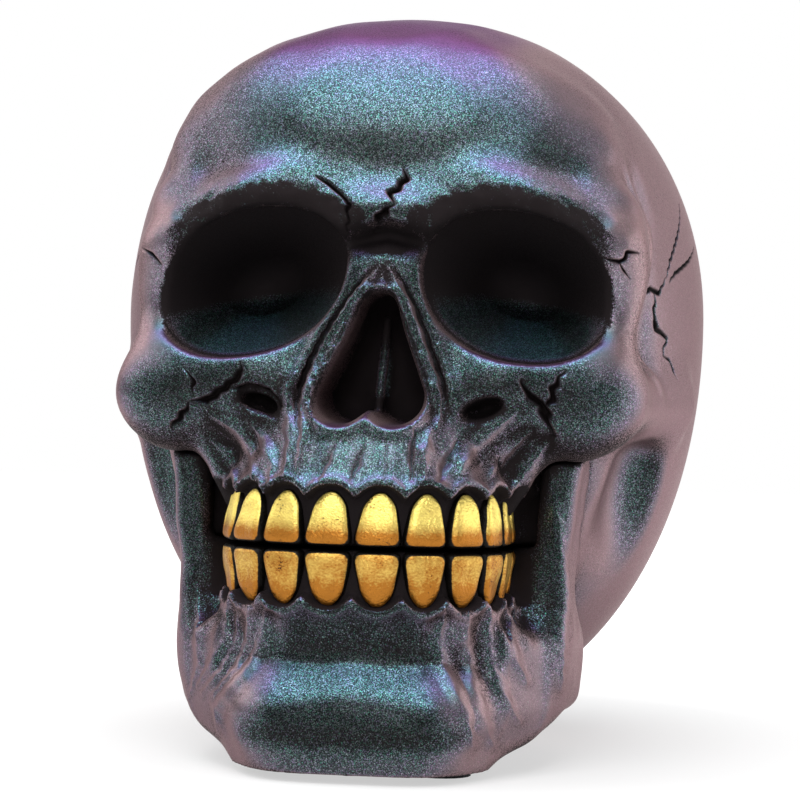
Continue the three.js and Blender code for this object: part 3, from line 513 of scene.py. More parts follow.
# Brow, left cheek, right cheek, outer rims, left side, right side
CRACKS = (
    crack(0.45, 1.0, (3.7, 96.0), (4.0, 94.4), (3.1, 93.0), (2.0, 92.1), (2.6, 90.2)),
    crack(0.65, 1.2, (2.6, 90.2), (1.3, 88.9), (0.4, 87.6), (-0.4, 86.4)),
    crack(0.36, 0.8, (-10.3, 94.4), (-7.9, 93.2), (-6.0, 91.6), (-4.6, 90.0), (-4.6, 85.5)),
    crack(0.7, 1.2, (23.8, 63.1), (25.2, 60.3), (26.9, 59.1), (27.7, 57.3), (28.6, 54.0)),
    crack(0.55, 1.0, (30.3, 64.4), (28.9, 61.8), (28.6, 59.6), (27.6, 58.4)),
    crack(0.65, 1.1, (-20.8, 64.4), (-20.9, 62.5), (-23.2, 60.5), (-26.3, 58.2), (-28.8, 58.2)),
    crack(0.5, 1.0, (-28.8, 58.2), (-30.6, 55.6), (-32.6, 53.6)),
    crack(0.35, 0.7, (-30.1, 63.4), (-28.6, 61.3), (-28.4, 59.0)),
    crack(0.27, 0.7, (35.5, 82.3), (38.5, 81.9), (39.8, 83.5), (41.0, 83.5)),
    crack(0.22, 0.5, (38.6, 81.8), (39.0, 80.6), (39.7, 79.4)),
    crack(0.27, 0.7, (-39.4, 82.7), (-37.4, 81.7), (-35.8, 80.0)),
    crack(0.26, 0.7, (-3.6, 94.5), (-13.6, 87.8), (-19.8, 83.6), (-22.4, 80.7), side=1),
    crack(0.26, 0.7, (0.5, 87.3), (-8.5, 84.2), (-17.7, 81.7), (-21.0, 80.1), side=1),
    crack(0.3, 0.7, (-34.0, 77.4), (-30.5, 77.6), (-28.5, 78.6), (-25.5, 78.0), (-22.4, 80.7), side=1),
    crack(0.3, 0.7, (-27.0, 78.2), (-26.5, 73.5), (-25.5, 72.0), (-21.4, 70.7), (-22.6, 67.7), side=1),
    crack(0.25, 0.6, (-22.6, 67.7), (-20.4, 67.1), (-19.6, 63.7), side=1),
    crack(0.4, 0.8, (-20.0, 84.0), (-14.0, 81.0), (-9.0, 82.0), side=-1),
)
# The walls of the nose, the folds under the cheeks, then the grooves beside them
FACE_CORDS = (
    cord(
        (0.5, 79.9), (-3.4, 74.8), (-6.9, 69.2), (-8.5, 65.2), (-9.7, 61.2), (-10.4, 57.5), (-9.5, 54.1),
        (-10.1, 47.6)),
    cord((2.1, 80.0), (4.9, 74.9), (7.2, 69.5), (8.7, 65.6), (10.2, 62.5), (11.2, 58.6), (11.2, 55.0)),
    fold((-13.4, 61.0), (-12.5, 57.2), (-11.6, 52.5), (-12.0, 47.3)),
    fold((-19.3, 55.7), (-16.4, 52.3), (-14.3, 48.5), (-14.3, 45.6)),
    fold((-25.4, 55.9), (-21.1, 53.9), (-18.5, 50.7), (-17.4, 46.5)),
    fold((-25.9, 52.0), (-23.2, 49.7), (-20.9, 46.2)),
    fold((-21.0, 57.9), (-18.3, 56.7), (-14.9, 55.4)),
    fold((23.1, 57.8), (19.7, 55.2), (16.4, 52.0), (15.0, 48.0)),
    fold((24.9, 54.7), (21.2, 51.3), (19.2, 47.7)),
    fold((27.6, 52.9), (24.6, 49.0), (22.8, 45.8)),
    fold((10.1, 54.3), (9.5, 51.2), (9.9, 47.0)),
    groove(
        (-0.9, 79.9), (-4.6, 74.6), (-8.0, 68.9), (-9.8, 65.0), (-11.0, 61.0), (-11.8, 57.4),
        width=0.35, depth=0.6, black=0.8),
    groove(
        (3.2, 80.0), (6.0, 75.2), (8.3, 69.8), (9.8, 65.9), (11.3, 62.6), (12.3, 58.6),
        width=0.3, depth=0.5, black=0.7),
    groove(
        (3.7, 75.0), (6.0, 69.6), (7.5, 65.7), (9.0, 62.5), (10.0, 58.6),
        width=0.25, depth=0.4, black=0.6),
    groove((-22.0, 60.3), (-19.1, 60.2), (-16.6, 59.6), (-14.1, 57.7), width=1.0, depth=1.5, black=0.9),
    groove((7.9, 54.6), (7.5, 51.5), (8.0, 46.9), width=0.45, depth=0.5, black=0.45),
    groove((14.4, 53.2), (13.0, 50.1), (12.2, 47.0), width=0.8, depth=0.7, black=0.4),
    groove((-4.5, 51.9), (-5.5, 49.3), (-6.5, 46.8)),
    groove((0.2, 51.8), (-0.7, 49.1), (-1.3, 46.7)),
    groove((3.6, 51.9), (4.0, 46.8)),
)
# From the skull's right to its left, the last one up the branch of the jaw
JAW_CORDS = (
    fold((-29.3, 28.2), (-27.4, 19.6), (-26.9, 16.1), (-29.1, 10.9)),
    fold((-21.7, 26.5), (-21.6, 20.5), (-24.3, 16.2), (-27.4, 12.4)),
    fold((-19.9, 26.0), (-19.6, 20.6), (-21.9, 15.7), (-26.2, 11.6)),
    fold((-17.7, 26.3), (-17.8, 20.8), (-19.5, 16.2), (-23.6, 11.9)),
    fold((-14.5, 26.6), (-15.5, 21.0), (-17.4, 16.7), (-20.1, 13.4), (-22.7, 9.8), (-23.3, 5.8)),
    fold((13.4, 26.4), (12.1, 22.1), (12.6, 18.3), (15.2, 14.6), (17.1, 11.3), (18.2, 6.0)),
    fold((17.1, 26.8), (16.3, 22.1), (17.1, 17.4), (18.6, 12.9), (19.7, 8.9), (20.8, 5.5)),
    fold((20.4, 28.2), (19.5, 23.6), (19.9, 18.9), (21.9, 14.0), (24.6, 9.0)),
    fold((22.6, 28.0), (22.6, 23.5), (23.3, 19.7), (25.5, 15.0)),
    fold((28.0, 48.7), (29.0, 40.6), (29.7, 34.2), (30.6, 29.0), (30.4, 21.4), (30.5, 13.4)),
)


def read_points(work: bmesh.types.BMesh) -> tuple[Array, Array]:
    """Places in millimetres and normals of a mesh at work, in the order of its numbered points."""
    work.verts.ensure_lookup_table()
    work.verts.index_update()
    work.normal_update()
    points = np.array([v.co for v in work.verts]) / MM
    return points, np.array([v.normal for v in work.verts])


@dataclass
class Casting:
    """A cast piece of the skull: its form, the fine mesh made from it, and the black wash and painted shade
    in its hollows.
    """

    arch: DentalArch = field(default_factory=DentalArch)
    base_z: float = 1.2
    wide_seam: float = 8.0
    seam: float = 5.0
    tight_seam: float = 2.0
    hand_depth: float = 0.22
    hand_lump: float = 7.0
    fine_step: float = 0.72
    coarse_step: float = 1.3
    grid_margin: float = 2.0
    settle_share: float = 0.6
    under_wash: float = 0.6
    under_slope: Span = (-0.25, -0.85)
    under_front: Span = (-28.0, -42.0)
    flank_wash: float = 0.32
    flank_offset: float = 1.9
    flank_spread: float = 0.8
    flank_limit: float = 0.3
    black_spread: float = 1.25
    rubbed_and_lit_share: float = 0.7
    refine_reaches: Span = (2.0, 1.4)
    shade_shares: tuple[Span, ...] = ((1.0, 0.3), (2.5, 0.4), (6.0, 0.32), (14.0, 0.12))

    def form(self, x: Array, y: Array, z: Array) -> Array:
        """Distance to the piece."""
        raise NotImplementedError

    def axes(self) -> tuple[Array, Array, Array]:
        """Lines of the grid that the piece is meshed on."""
        raise NotImplementedError

    def black_paint_and_shade(self, x: Array, y: Array, z: Array) -> Array:
        """Black paint and painted shade laid on by place, from 0 to 1."""
        raise NotImplementedError

    def painted_glint(self, points: Array, normals: Array) -> Array:
        """Painted highlight: the share of the wash and shade taken off again."""
        raise NotImplementedError

    def turned(self, points: Array) -> Array:
        """Painted reflection colour set by place: above 0 towards teal, below 0 towards rose grey."""
        raise NotImplementedError

    def aside(self, x: Array, y: Array, z: Array) -> Array:
        """Distance from the leaning middle of the face, the same on both sides."""
        return np.abs(x - self.arch.lean(y, z))

    def build(self, name: str, whole: Form, carvings: tuple[Carving, ...]) -> bpy.types.Object:
        """Meshes the piece, works out its black wash, painted shade and painted highlights, and carves its
        lines.

        Args:
            name: Name of the piece.
            whole: The form of the entire skull, which shades the hollows.
            carvings: Lines to carve.

        Returns:
            The object, with values at its points for the wash and painted shade, for the painted reflection
            colour and for the cracks.
        """
        points, faces = skin(self.form, self.axes())
        points, normals = settle(self.form, points, self.settle_share * self.fine_step)
        # Painted shade: surfaces facing down at the front are darkened
        under = ramp(*self.under_slope, normals[:, 2]) * ramp(*self.under_front, points[:, 1])
        wash = np.maximum(self.shade(points, normals, whole), self.under_wash * under)
        wash = np.clip(np.maximum(wash, self.black_paint_and_shade(*points.T)), 0.0, 1.0)
        # Painted highlights take some of the wash and shade off again
        wash = wash * (1.0 - self.painted_glint(points, normals))
        bare = np.zeros(len(points))
        piece = mesh_object(name, points, faces, wash=wash, turned=self.turned(points), crack=bare)
        self.carve(piece, carvings)
        return piece

    def shade(self, points: Array, normals: Array, whole: Form) -> Array:
        """How much painted shade darkens each point: most where the skin is closed in.

        Args:
            points: Places on the skin.
            normals: Outward normals there.
            whole: The form of the entire skull.

        Returns:
            Values from 0, open, to 1, deep in a hollow.
        """
        shade = np.zeros(len(points))
        for reach, share in self.shade_shares:
            there = points + normals * reach
            open_share = np.clip(whole(*there.T) / reach, 0.0, 1.0)
            shade += share * (1.0 - open_share)
        return np.clip(shade, 0.0, 1.0)

    def carve(self, piece: bpy.types.Object, carvings: tuple[Carving, ...]) -> None:
        """Refines the mesh along lines, sinks or raises them, and draws the wash along them.

        Args:
            piece: The meshed piece, with values at its points for the wash and painted shade and for the
                cracks.
            carvings: Lines to carve.
        """
        work = bmesh.new()
        work.from_mesh(piece.data)
        for reach in self.refine_reaches:
            points, normals = read_points(work)
            near = np.min([c.distance(points, normals) - c.width for c in carvings], axis=0) < reach
            edges = [e for e in work.edges if near[e.verts[0].index] and near[e.verts[1].index]]
            bmesh.ops.subdivide_edges(work, edges=edges, cuts=1, use_grid_fill=True)
        points, normals = read_points(work)
        sink, rise, black, flank = (np.zeros(len(points)) for _ in range(4))
        for line in carvings:
            d = line.distance(points, normals)
            profile = np.exp(-(d / line.width) ** 2)
            if line.depth > 0:
                sink = np.maximum(sink, line.depth * profile)
                soft = np.exp(-(d / (self.black_spread * line.width)) ** 4)
                black = np.maximum(black, line.black * soft)
            else:
                # A soft maximum, so that cords run into each other without a crease
                rise = (rise**4 + (-line.depth * profile) ** 4) ** 0.25
                beside = (d - self.flank_offset * line.width) / (self.flank_spread * line.width)
                flank = np.maximum(flank, np.exp(-beside**2))
        points = (points + normals * (rise - sink)[:, None]) * MM
        crack_layer, wash_layer = (work.verts.layers.float[key] for key in ("crack", "wash"))
        held = np.array([v[wash_layer] for v in work.verts])
        # Painted highlight on raised cords, which lose some wash and shade, and painted shade in the grooves
        # beside them
        held = held * (1.0 - self.rubbed_and_lit_share * np.minimum(rise, 1.0))
        held = np.clip(held + self.flank_wash * flank * (rise < self.flank_limit), 0.0, 1.0)
        for vert, place, dark, left in zip(work.verts, points, black, held):
            vert.co = place
            vert[crack_layer] = dark
            vert[wash_layer] = left
        work.to_mesh(piece.data)
        work.free()
        piece.data.shade_smooth()


@dataclass(frozen=True)
class FacePainting:
    """Where the cranium's black paint and painted shade lie, where painted highlights lift them, and where
    its painted reflection colour turns.
    """

    front: Span = (-40.0, -46.0)
    socket_edge: Span = (0.25, -0.3)
    socket_front: Span = (-6.0, -2.0)
    brow_edge: Span = (3.9, 2.9)
    brow_rise: Span = (1.0, 6.0)
    brow_end: Span = (17.0, 11.0)
    brow_grit: tuple[Span, Span] = ((0.7, 2.2), (0.4, 0.9))
    brow_cover: float = 0.76
    brow_streak: float = 0.3
    brow_streak_size: float = 0.7
    brow_streak_squeeze: float = 0.4
    nose_edge: Span = (0.3, -0.8)
    gum_edge: Span = (0.2, -0.4)
    gum_back: float = 4.0
    root_rise: float = 2.4
    root_half: Span = (4.5, 2.0)
    root_edge: Span = (1.4, 0.8)
    root_ragged: Span = (0.25, 1.8)
    cheek_share: float = 0.27
    cheek_place: Span = (29.0, 59.0)
    cheek_half: Span = (8.0, 4.5)
    cheek_edge: Span = (1.3, 0.4)
    cheek_ragged: Span = (0.2, 3.0)
    roof_share: float = 0.42
    roof_rose: float = 0.3
    roof_z: float = 78.8
    roof_half: Span = (3.4, 1.9)
    roof_edge: Span = (1.2, 0.7)
    valley: Swell = (0.36, 4.6, 2.2)
    valley_fall: Span = (-3.0, -8.0)
    valley_outer: Span = (35.0, 30.0)
    valley_inner: Span = (11.0, 16.0)
    face_end: Span = (0.0, -8.0)
    gum_glint: Swell = (0.75, 51.0, 4.0)
    gum_glint_end: Span = (18.0, 12.0)
    lip_glint: Swell = (0.85, 0.9, 0.5)
    floor_glint: float = 0.93
    floor_slope: Span = (0.0, 0.6)
    septum_glint: Swell = (0.8, 63.0, 6.0)
    septum_x: Span = (1.3, 0.7)
    septum_edge: Span = (-1.0, -2.2)
    inside_edge: Span = (0.2, -1.2)
    inside_front: Span = (-2.0, 1.0)
    inside_back: Span = (-22.0, -27.0)
    inside_teal: float = 0.44
    shelf_teal: Swell = (0.16, 93.0, 5.0)
    shelf_place: Span = (25.0, 6.0)
    crown_rose: float = 0.12
    crown_rose_x: Span = (-16.0, -26.0)
    crown_rose_z: Span = (92.0, 99.0)
    lilac: Swell = (0.21, 51.5, 5.5)
    lilac_end: Span = (25.0, 19.0)
    lilac_stretch: Span = (1.6, 0.4)
    lilac_size: float = 2.4
    rim_rose: float = 0.35
    rim_x: Span = (31.0, 36.0)
    rim_y: Span = (-28.0, -34.0)
    rim_low: Span = (60.0, 68.0)
    rim_high: Span = (93.0, 87.0)


@dataclass
class Cranium(Casting):
    """The cranium with the upper jaw."""

    width: float = 101.6
    length: float = 121.0
    top: float = 126.5
    widest_z: float = 73.0
    centre_y: float = 8.0
    taper_depth: float = 70.5
    cranium_squareness: float = 2.1
    forehead_half_width: float = 38.8
    forehead_depth: float = 29.0
    forehead_half_height: float = 34.5
    forehead_y: float = -21.0
    forehead_z: float = 87.0
    forehead_squareness: float = 2.35
    forehead_plan_squareness: float = 2.9
    foot_half_width: float = 21.0
    foot_half_length: float = 27.0
    foot_y: float = 7.0
    foot_top: float = 12.0
    orbit_x: float = 21.3
    orbit_z: float = 77.5
    orbit_width: float = 30.5
    orbit_height: float = 24.0
    orbit_depth: float = 19.0
    orbit_squareness: float = 2.15
    orbit_shear: float = 0.09
    orbit_droop: float = 0.1
    orbit_taper: float = 0.45
    orbit_back_rounding: float = 4.0
    orbit_edge: float = 1.0
    rim_y: float = -49.5
    rim_radius: float = 2.9
    brow_radius: float = 3.4
    brow_overhang: float = 1.2
    brow_seam: float = 7.0
    brow_blend: Span = (6.0, 14.0)
    lower_rim_overhang: float = 2.6
    rim_setback: float = 4.5
    rim_offset_share: float = 0.35
    rim_thinning: float = 0.35
    rim_thinning_from: float = 0.4
    rim_bulges: tuple[Swell, ...] = ((0.6, 84.0, 5.0), (-0.5, 96.0, 4.0), (-0.4, 72.0, 4.0))
    outer_x: Span = (32.0, 36.0)
    outer_y: Span = (-24.0, -32.0)
    face_y: Span = (-30.0, -40.0)
    torn_edge: Span = (4.5, 2.0)
    torn_offset: float = 1.5
    torn_rise: Span = (5.0, 11.0)
    torn_grit: tuple[Span, Span] = ((0.22, 2.6), (0.132, 1.1))
    frown: tuple[Knot, ...] = ((14.0, -46.8, 92.3, 3.0), (6.0, -49.0, 87.5, 3.2))
    frown_seam: float = 4.0
    glabella_y: float = -49.5
    glabella_z: float = 88.3
    glabella_half: Size = (8.0, 4.8, 3.8)
    valley_z: float = 96.8
    valley_width: float = 3.2
    valley_depth: float = 0.9
    valley_bow: float = 0.02
    valley_bow_x: float = 16.0
    valley_middle: float = 8.0
    valley_side_share: float = 0.25
    valley_end: Span = (24.0, 16.0)
    temple_line_y: float = -34.0
    temple_wave: float = 1.2
    temple_wave_z: float = 71.0
    temple_wave_size: float = 4.8
    temple_sweep: float = 0.12
    temple_sweep_z: float = 86.0
    temple_ridges: tuple[Swell, ...] = ((0.9, 0.0, 1.4), (-0.6, 4.2, 2.6))
    temple_low: Span = (58.0, 66.0)
    temple_high: Span = (102.0, 94.0)
    pillar_x: float = 34.0
    pillar_y: float = -39.0
    pillar_radius: float = 5.0
    septum_half_width: float = 7.0
    septum_y: float = -40.0
    septum_depth: float = 8.5
    septum_height_share: float = 0.6
    nose_top_z: float = 75.6
    nose_bottom_z: float = 55.2
    nose_width: float = 17.0
    nose_top_radius: float = 2.6
    nose_lobe_radius: float = 4.2
    nose_back_y: float = -38.0
    nose_edge: float = 1.6
    nose_rim: tuple[Swell, ...] = ((1.1, 0.9, 0.9),)
    nose_folds: tuple[Swell, ...] = ((-0.25, 3.0, 0.7), (0.6, 4.4, 1.0))
    nose_fold_top: Span = (3.0, -5.0)
    nose_fold_bottom: Span = (1.0, 6.0)
    nose_plate: tuple[Knot, ...] = ((0.0, -45.0, 58.0, 0.8), (0.0, -42.0, 72.0, 0.8))
    nose_plate_seam: float = 1.0
    notch_y: float = -54.0
    notch_rise: float = 3.4
    notch_slant: float = 0.25
    notch_half: Size = (8.0, 5.5, 2.0)
    notch_seam: float = 3.5
    spine_rise: float = 2.7
    bridge_y: float = -47.2
    bridge_radius: float = 2.7
    bridge_rise: float = 6.4
    bridge_slant: float = 3.0
    bridge_top_share: float = 0.8
    wing_rise_share: float = 1.4
    wing_slant_share: float = 1.5
    wing_radius_share: float = 1.1
    nose_wall: float = 1.5
    cheek_x: float = 32.8
    cheek_y: float = -46.0
    cheek_z: float = 59.5
    cheek_half_width: float = 8.8
    cheek_half_depth: float = 8.0
    cheek_half_height: float = 9.0
    cheek_root_radius: float = 6.8
    cheek_root_slant: float = 4.0
    zygoma_radius: float = 5.2
    zygoma_end_y: float = -12.0
    zygoma_inset: float = 6.5
    crest_radius: float = 2.1
    crest_rise: float = 14.0
    crest_run: float = 22.0
    crest_inset: float = 6.5
    crest_setback: float = 7.0
    crest_middle: float = 0.55
    crest_shares: tuple[Span, ...] = ((0.2, -0.3), (0.7, 0.4), (1.0, 1.0))
    maxilla_half_width: float = 26.5
    maxilla_half_height: float = 12.5
    maxilla_depth: float = 20.0
    maxilla_y: float = -38.5
    maxilla_z: float = 55.5
    jaw_edge: tuple[Knot, ...] = (
        (27.0, -47.0, 54.5, 3.6), (24.0, -48.5, 48.5, 2.4), (21.6, -48.0, 43.0, 1.9))
    jaw_edge_seam: float = 2.5
    inner_wall: tuple[Knot, ...] = ((25.5, -32.0, 30.0, 5.4), (26.5, -31.5, 56.0, 6.0))
    root_relief: float = 0.3
    root_end: Span = (9.0, 4.0)
    root_middle: Span = (1.0, 9.0)
    mouth_back_y: float = -36.0
    foramen_x: float = 17.8
    foramen_y: float = -55.0
    foramen_z: float = 58.2
    foramen_tilt: float = 0.25
    foramen_half: Size = (3.0, 4.5, 1.6)
    hollow_half_height: float = 14.0
    hollow_z: float = 41.0
    hollow_front: tuple[float, ...] = (31.0, -50.0, 6.0, 12.0)
    hollow_back: tuple[float, ...] = (41.5, -22.0, 6.5, 8.5)
    hole_rim_radius: float = 11.0
    hole_rim_depth: float = 2.4
    hole_rim_seam: float = 0.3
    hand_end: Span = (0.0, -30.0)
    grid_face_x: float = 40.0
    grid_face_y: float = -30.0
    grid_face_z: Span = (30.0, 98.0)
    grid_front_margin: float = 4.0
    painting: FacePainting = FacePainting()

    def braincase(self, x: Array, y: Array, z: Array) -> Array:
        """A full egg, widest above the middle, drawn in towards the foot."""
        rz = np.where(z > self.widest_z, self.top - self.widest_z, self.taper_depth)
        dy, dz = y - self.centre_y, z - self.widest_z
        return pebble(x, dy, dz, self.width / 2, self.length / 2, rz, self.cranium_squareness)

    def forehead(self, x: Array, y: Array, z: Array) -> Array:
        """A squarer block in front of the egg."""
        across, along = x / self.forehead_half_width, (y - self.forehead_y) / self.forehead_depth
        plan = square_norm(across, along, self.forehead_plan_squareness)
        size = square_norm(plan, (z - self.forehead_z) / self.forehead_half_height, self.forehead_squareness)
        return (size - 1.0) * self.forehead_depth

    def foot(self, x: Array, y: Array, z: Array) -> Array:
        """The foot that the cranium stands on."""
        plan = square_norm(x / self.foot_half_width, (y - self.foot_y) / self.foot_half_length, 2) - 1.0
        return meet(plan * self.foot_half_width, np.abs(z - self.foot_top / 2) - self.foot_top, self.seam)

    def crest(self, x: Array, y: Array, z: Array) -> Array:
        """The crest from the outer brow up and back over the temple."""
        brow_x = self.orbit_x + self.orbit_width / 2
        brow_z = self.orbit_z + self.orbit_height / 2
        inset, rise, r = self.crest_inset, self.crest_rise, self.crest_radius
        back = (self.crest_setback, self.crest_middle * self.crest_run, self.crest_run)
        return rod(x, y, z, [
            (brow_x - inward * inset, self.rim_y + run, brow_z + up * rise, r)
            for run, (inward, up) in zip(back, self.crest_shares)])

    def side_hollows(self, x: Array, y: Array, z: Array) -> Array:
        """The hollows in front of and behind the branch of the jaw."""
        front, back = (
            ellipsoid(x - cx, y - cy, z - self.hollow_z, wide, deep, self.hollow_half_height)
            for cx, cy, wide, deep in (self.hollow_front, self.hollow_back))
        return np.minimum(front, back)

    def maxilla(self, x: Array, y: Array, z: Array) -> Array:
        """The upper jaw with the scalloped edge of its gum and the swellings over the roots."""
        arch = self.arch
        body = ellipsoid(
            x, y - self.maxilla_y, z - self.maxilla_z,
            self.maxilla_half_width, self.maxilla_depth, self.maxilla_half_height)
        over = z - arch.upper_gum_z
        distance = arch.along(x, y)
        bed, lip = arch.gum_edge(over, distance)
        height = self.maxilla_z - arch.bite_z
        middle_z = self.maxilla_z - height / 2
        plan = arch.plan(x, y, bed + np.maximum(over, 0.0) * arch.upper_gum_lean)
        gum = meet(plan - lip, np.abs(z - middle_z) - height / 2, self.tight_seam)
        d = join(body, gum, self.seam)
        roots = arch.roots(over, distance, self.root_end)
        return d - self.root_relief * roots * ramp(*self.root_middle, distance)

    def nose_outline(self, x: Array, z: Array) -> Array:
        """Distance to the pear-shaped outline of the nose opening, seen from the front."""
        lobe_x = self.nose_width / 2 - self.nose_lobe_radius
        lobe_z = self.nose_bottom_z + self.nose_lobe_radius
        top = (0.0, 0.0, self.nose_top_z - self.nose_top_radius, self.nose_top_radius)
        zero = np.zeros(1)
        side = rod(x, zero, z, [top, (lobe_x, 0.0, lobe_z, self.nose_lobe_radius)])
        middle = rod(x, zero, z, [top, (0.0, 0.0, lobe_z + self.spine_rise, self.nose_lobe_radius)])
        return join(side, middle, self.tight_seam)

    def bridge(self, x: Array, y: Array, z: Array) -> Array:
        """The nasal bones and the sides of the nose."""
        top_z = self.nose_top_z + self.bridge_rise
        r = self.bridge_radius
        ridge = rod(x, y, z, [
            (0.0, self.bridge_y, top_z, self.bridge_top_share * r),
            (0.0, self.bridge_y - self.bridge_slant, self.nose_top_z, r)])
        wing_y = self.bridge_y - self.wing_slant_share * self.bridge_slant
        wing_z = self.nose_bottom_z + self.wing_rise_share * self.nose_lobe_radius
        side = rod(x, y, z, [
            (self.nose_wall, self.bridge_y, self.nose_top_z + self.bridge_rise / 2, r),
            (self.nose_width / 2 + self.nose_wall, wing_y, wing_z, self.wing_radius_share * r)])
        return join(ridge, side, self.tight_seam)

    def cheek(self, x: Array, y: Array, z: Array) -> Array:
        """The cheekbone, its root on the upper jaw and the arch behind it."""
        bone = ellipsoid(
            x - self.cheek_x, y - self.cheek_y, z - self.cheek_z,
            self.cheek_half_width, self.cheek_half_depth, self.cheek_half_height)
        w, r = self.cheek_half_width, self.cheek_root_radius
        root = rod(x, y, z, [
            (self.cheek_x - w / 3, self.cheek_y, self.cheek_z, r),
            (self.orbit_x - w / 4, self.cheek_y - self.cheek_root_slant, self.cheek_z, r)])
        r = self.zygoma_radius
        zygoma = rod(x, y, z, [
            (self.cheek_x + w / 2, self.cheek_y + self.cheek_half_depth / 4, self.cheek_z, r),
            (self.width / 2 - self.zygoma_inset, self.zygoma_end_y, self.cheek_z, r)])
        return join(join(bone, root, self.seam), zygoma, self.seam)

    def orbit_rise(self, x: Array, z: Array) -> Array:
        """Height over the drooping middle line of an eye socket."""
        return z - self.orbit_z + self.orbit_droop * (x - self.orbit_x)

    def orbit_outline(self, x: Array, z: Array) -> Array:
        """Distance to the outline of an eye socket, seen from the front."""
        dz = self.orbit_rise(x, z)
        dx = x - self.orbit_x + self.orbit_shear * dz
        half = square_norm(dx / (self.orbit_width / 2), dz / (self.orbit_height / 2), self.orbit_squareness)
        return (half - 1.0) * self.orbit_height * 0.5

    def orbit_rim(self, x: Array, y: Array, z: Array) -> Array:
        """The ring of bone around an eye socket: the brow hangs forward, the outer side lies back."""
        half_h, half_w = self.orbit_height / 2, self.orbit_width / 2
        dz = self.orbit_rise(x, z)
        brow = ramp(0.0, half_h, dz)
        lower = ramp(0.0, -half_h, dz)
        sides = ramp(self.orbit_x, self.orbit_x + half_w, x) + ramp(self.orbit_x, self.orbit_x - half_w, x)
        depth = self.rim_y - brow * self.brow_overhang - lower * self.lower_rim_overhang
        depth = depth + sides * self.rim_setback
        outer = ramp(self.orbit_x + self.rim_thinning_from * half_w, self.orbit_x + half_w, x)
        radius = mix(self.rim_radius, self.brow_radius, brow) * (1.0 - self.rim_thinning * outer)
        away = self.orbit_outline(x, z) - radius * self.rim_offset_share
        return np.sqrt(away**2 + (y - depth - radius * self.rim_offset_share) ** 2) - radius

    def orbit_walls(self, x: Array, y: Array, z: Array) -> Array:
        """Bone behind the ring: a pillar on the outer side, a septum between the sockets."""
        low = self.cheek_z + self.cheek_half_height / 2
        high = self.orbit_z + self.orbit_height / 2
        ends = [(self.pillar_x, self.pillar_y, end, self.pillar_radius) for end in (low, high)]
        pillar = rod(x, y, z, ends)
        septum = ellipsoid(
            x, y - self.septum_y, z - self.orbit_z,
            self.septum_half_width, self.septum_depth, self.orbit_height * self.septum_height_share)
        return np.minimum(pillar, septum)

    def bones(self, x: Array, y: Array, z: Array) -> Array:
        """The large forms of the cranium, run into each other."""
        d = join(self.braincase(x, y, z), self.forehead(x, y, z), self.wide_seam)
        d = join(d, self.foot(x, y, z), self.wide_seam)
        d = join(d, self.crest(x, y, z), self.wide_seam)
        d = cut(d, self.side_hollows(x, y, z), self.seam)
        d = join(d, self.maxilla(x, y, z), self.wide_seam)
        d = join(d, self.bridge(x, y, z), self.seam)
        d = join(d, self.cheek(x, y, z), self.seam)
        d = join(d, self.orbit_walls(x, y, z), self.seam)
        d = join(d, rod(x, y, z, self.frown), self.frown_seam)
        d = join(d, rod(x, y, z, self.jaw_edge), self.jaw_edge_seam)
        d = join(d, rod(x, y, z, self.inner_wall), self.seam)
        glabella = ellipsoid(x, y - self.glabella_y, z - self.glabella_z, *self.glabella_half)
        d = join(d, glabella, self.frown_seam)
        blend = mix(self.wide_seam, self.brow_seam, ramp(*self.brow_blend, z - self.orbit_z))
        return join(d, self.orbit_rim(x, y, z), blend)

    def relief(self, x: Array, y: Array, z: Array) -> Array:
        """How far the skin stands out from the bones: torn brow, valley, outer rims, temple, nose."""
        face = ramp(*self.face_y, y)
        torn = ramp(*self.torn_edge, np.abs(self.orbit_outline(x, z) - self.torn_offset))
        torn = torn * ramp(*self.torn_rise, z - self.orbit_z)
        out = -grit(x, y, z, *self.torn_grit) * torn * face
        middle_z = self.valley_z + self.valley_bow * np.minimum(x, self.valley_bow_x) ** 2
        deep = mix(self.valley_side_share, 1.0, bump(x, 0.0, self.valley_middle))
        valley = bump(z, middle_z, self.valley_width) * deep * ramp(*self.valley_end, x)
        out = out - self.valley_depth * valley * face
        outer = ramp(*self.outer_x, x)
        out = out + swells(z, self.rim_bulges) * outer * ramp(*self.outer_y, y)
        line = swells(y - self.temple_y(z), self.temple_ridges)
        out = out + line * outer * ramp(*self.temple_low, z) * ramp(*self.temple_high, z)
        nose = self.nose_outline(x, z)
        front = ramp(self.nose_back_y, self.nose_back_y - self.seam, y)
        flank = ramp(*self.nose_fold_top, z - self.nose_top_z)
        flank = flank * ramp(*self.nose_fold_bottom, z - self.nose_bottom_z)
        return out + (swells(nose, self.nose_rim) + swells(nose, self.nose_folds) * flank) * front

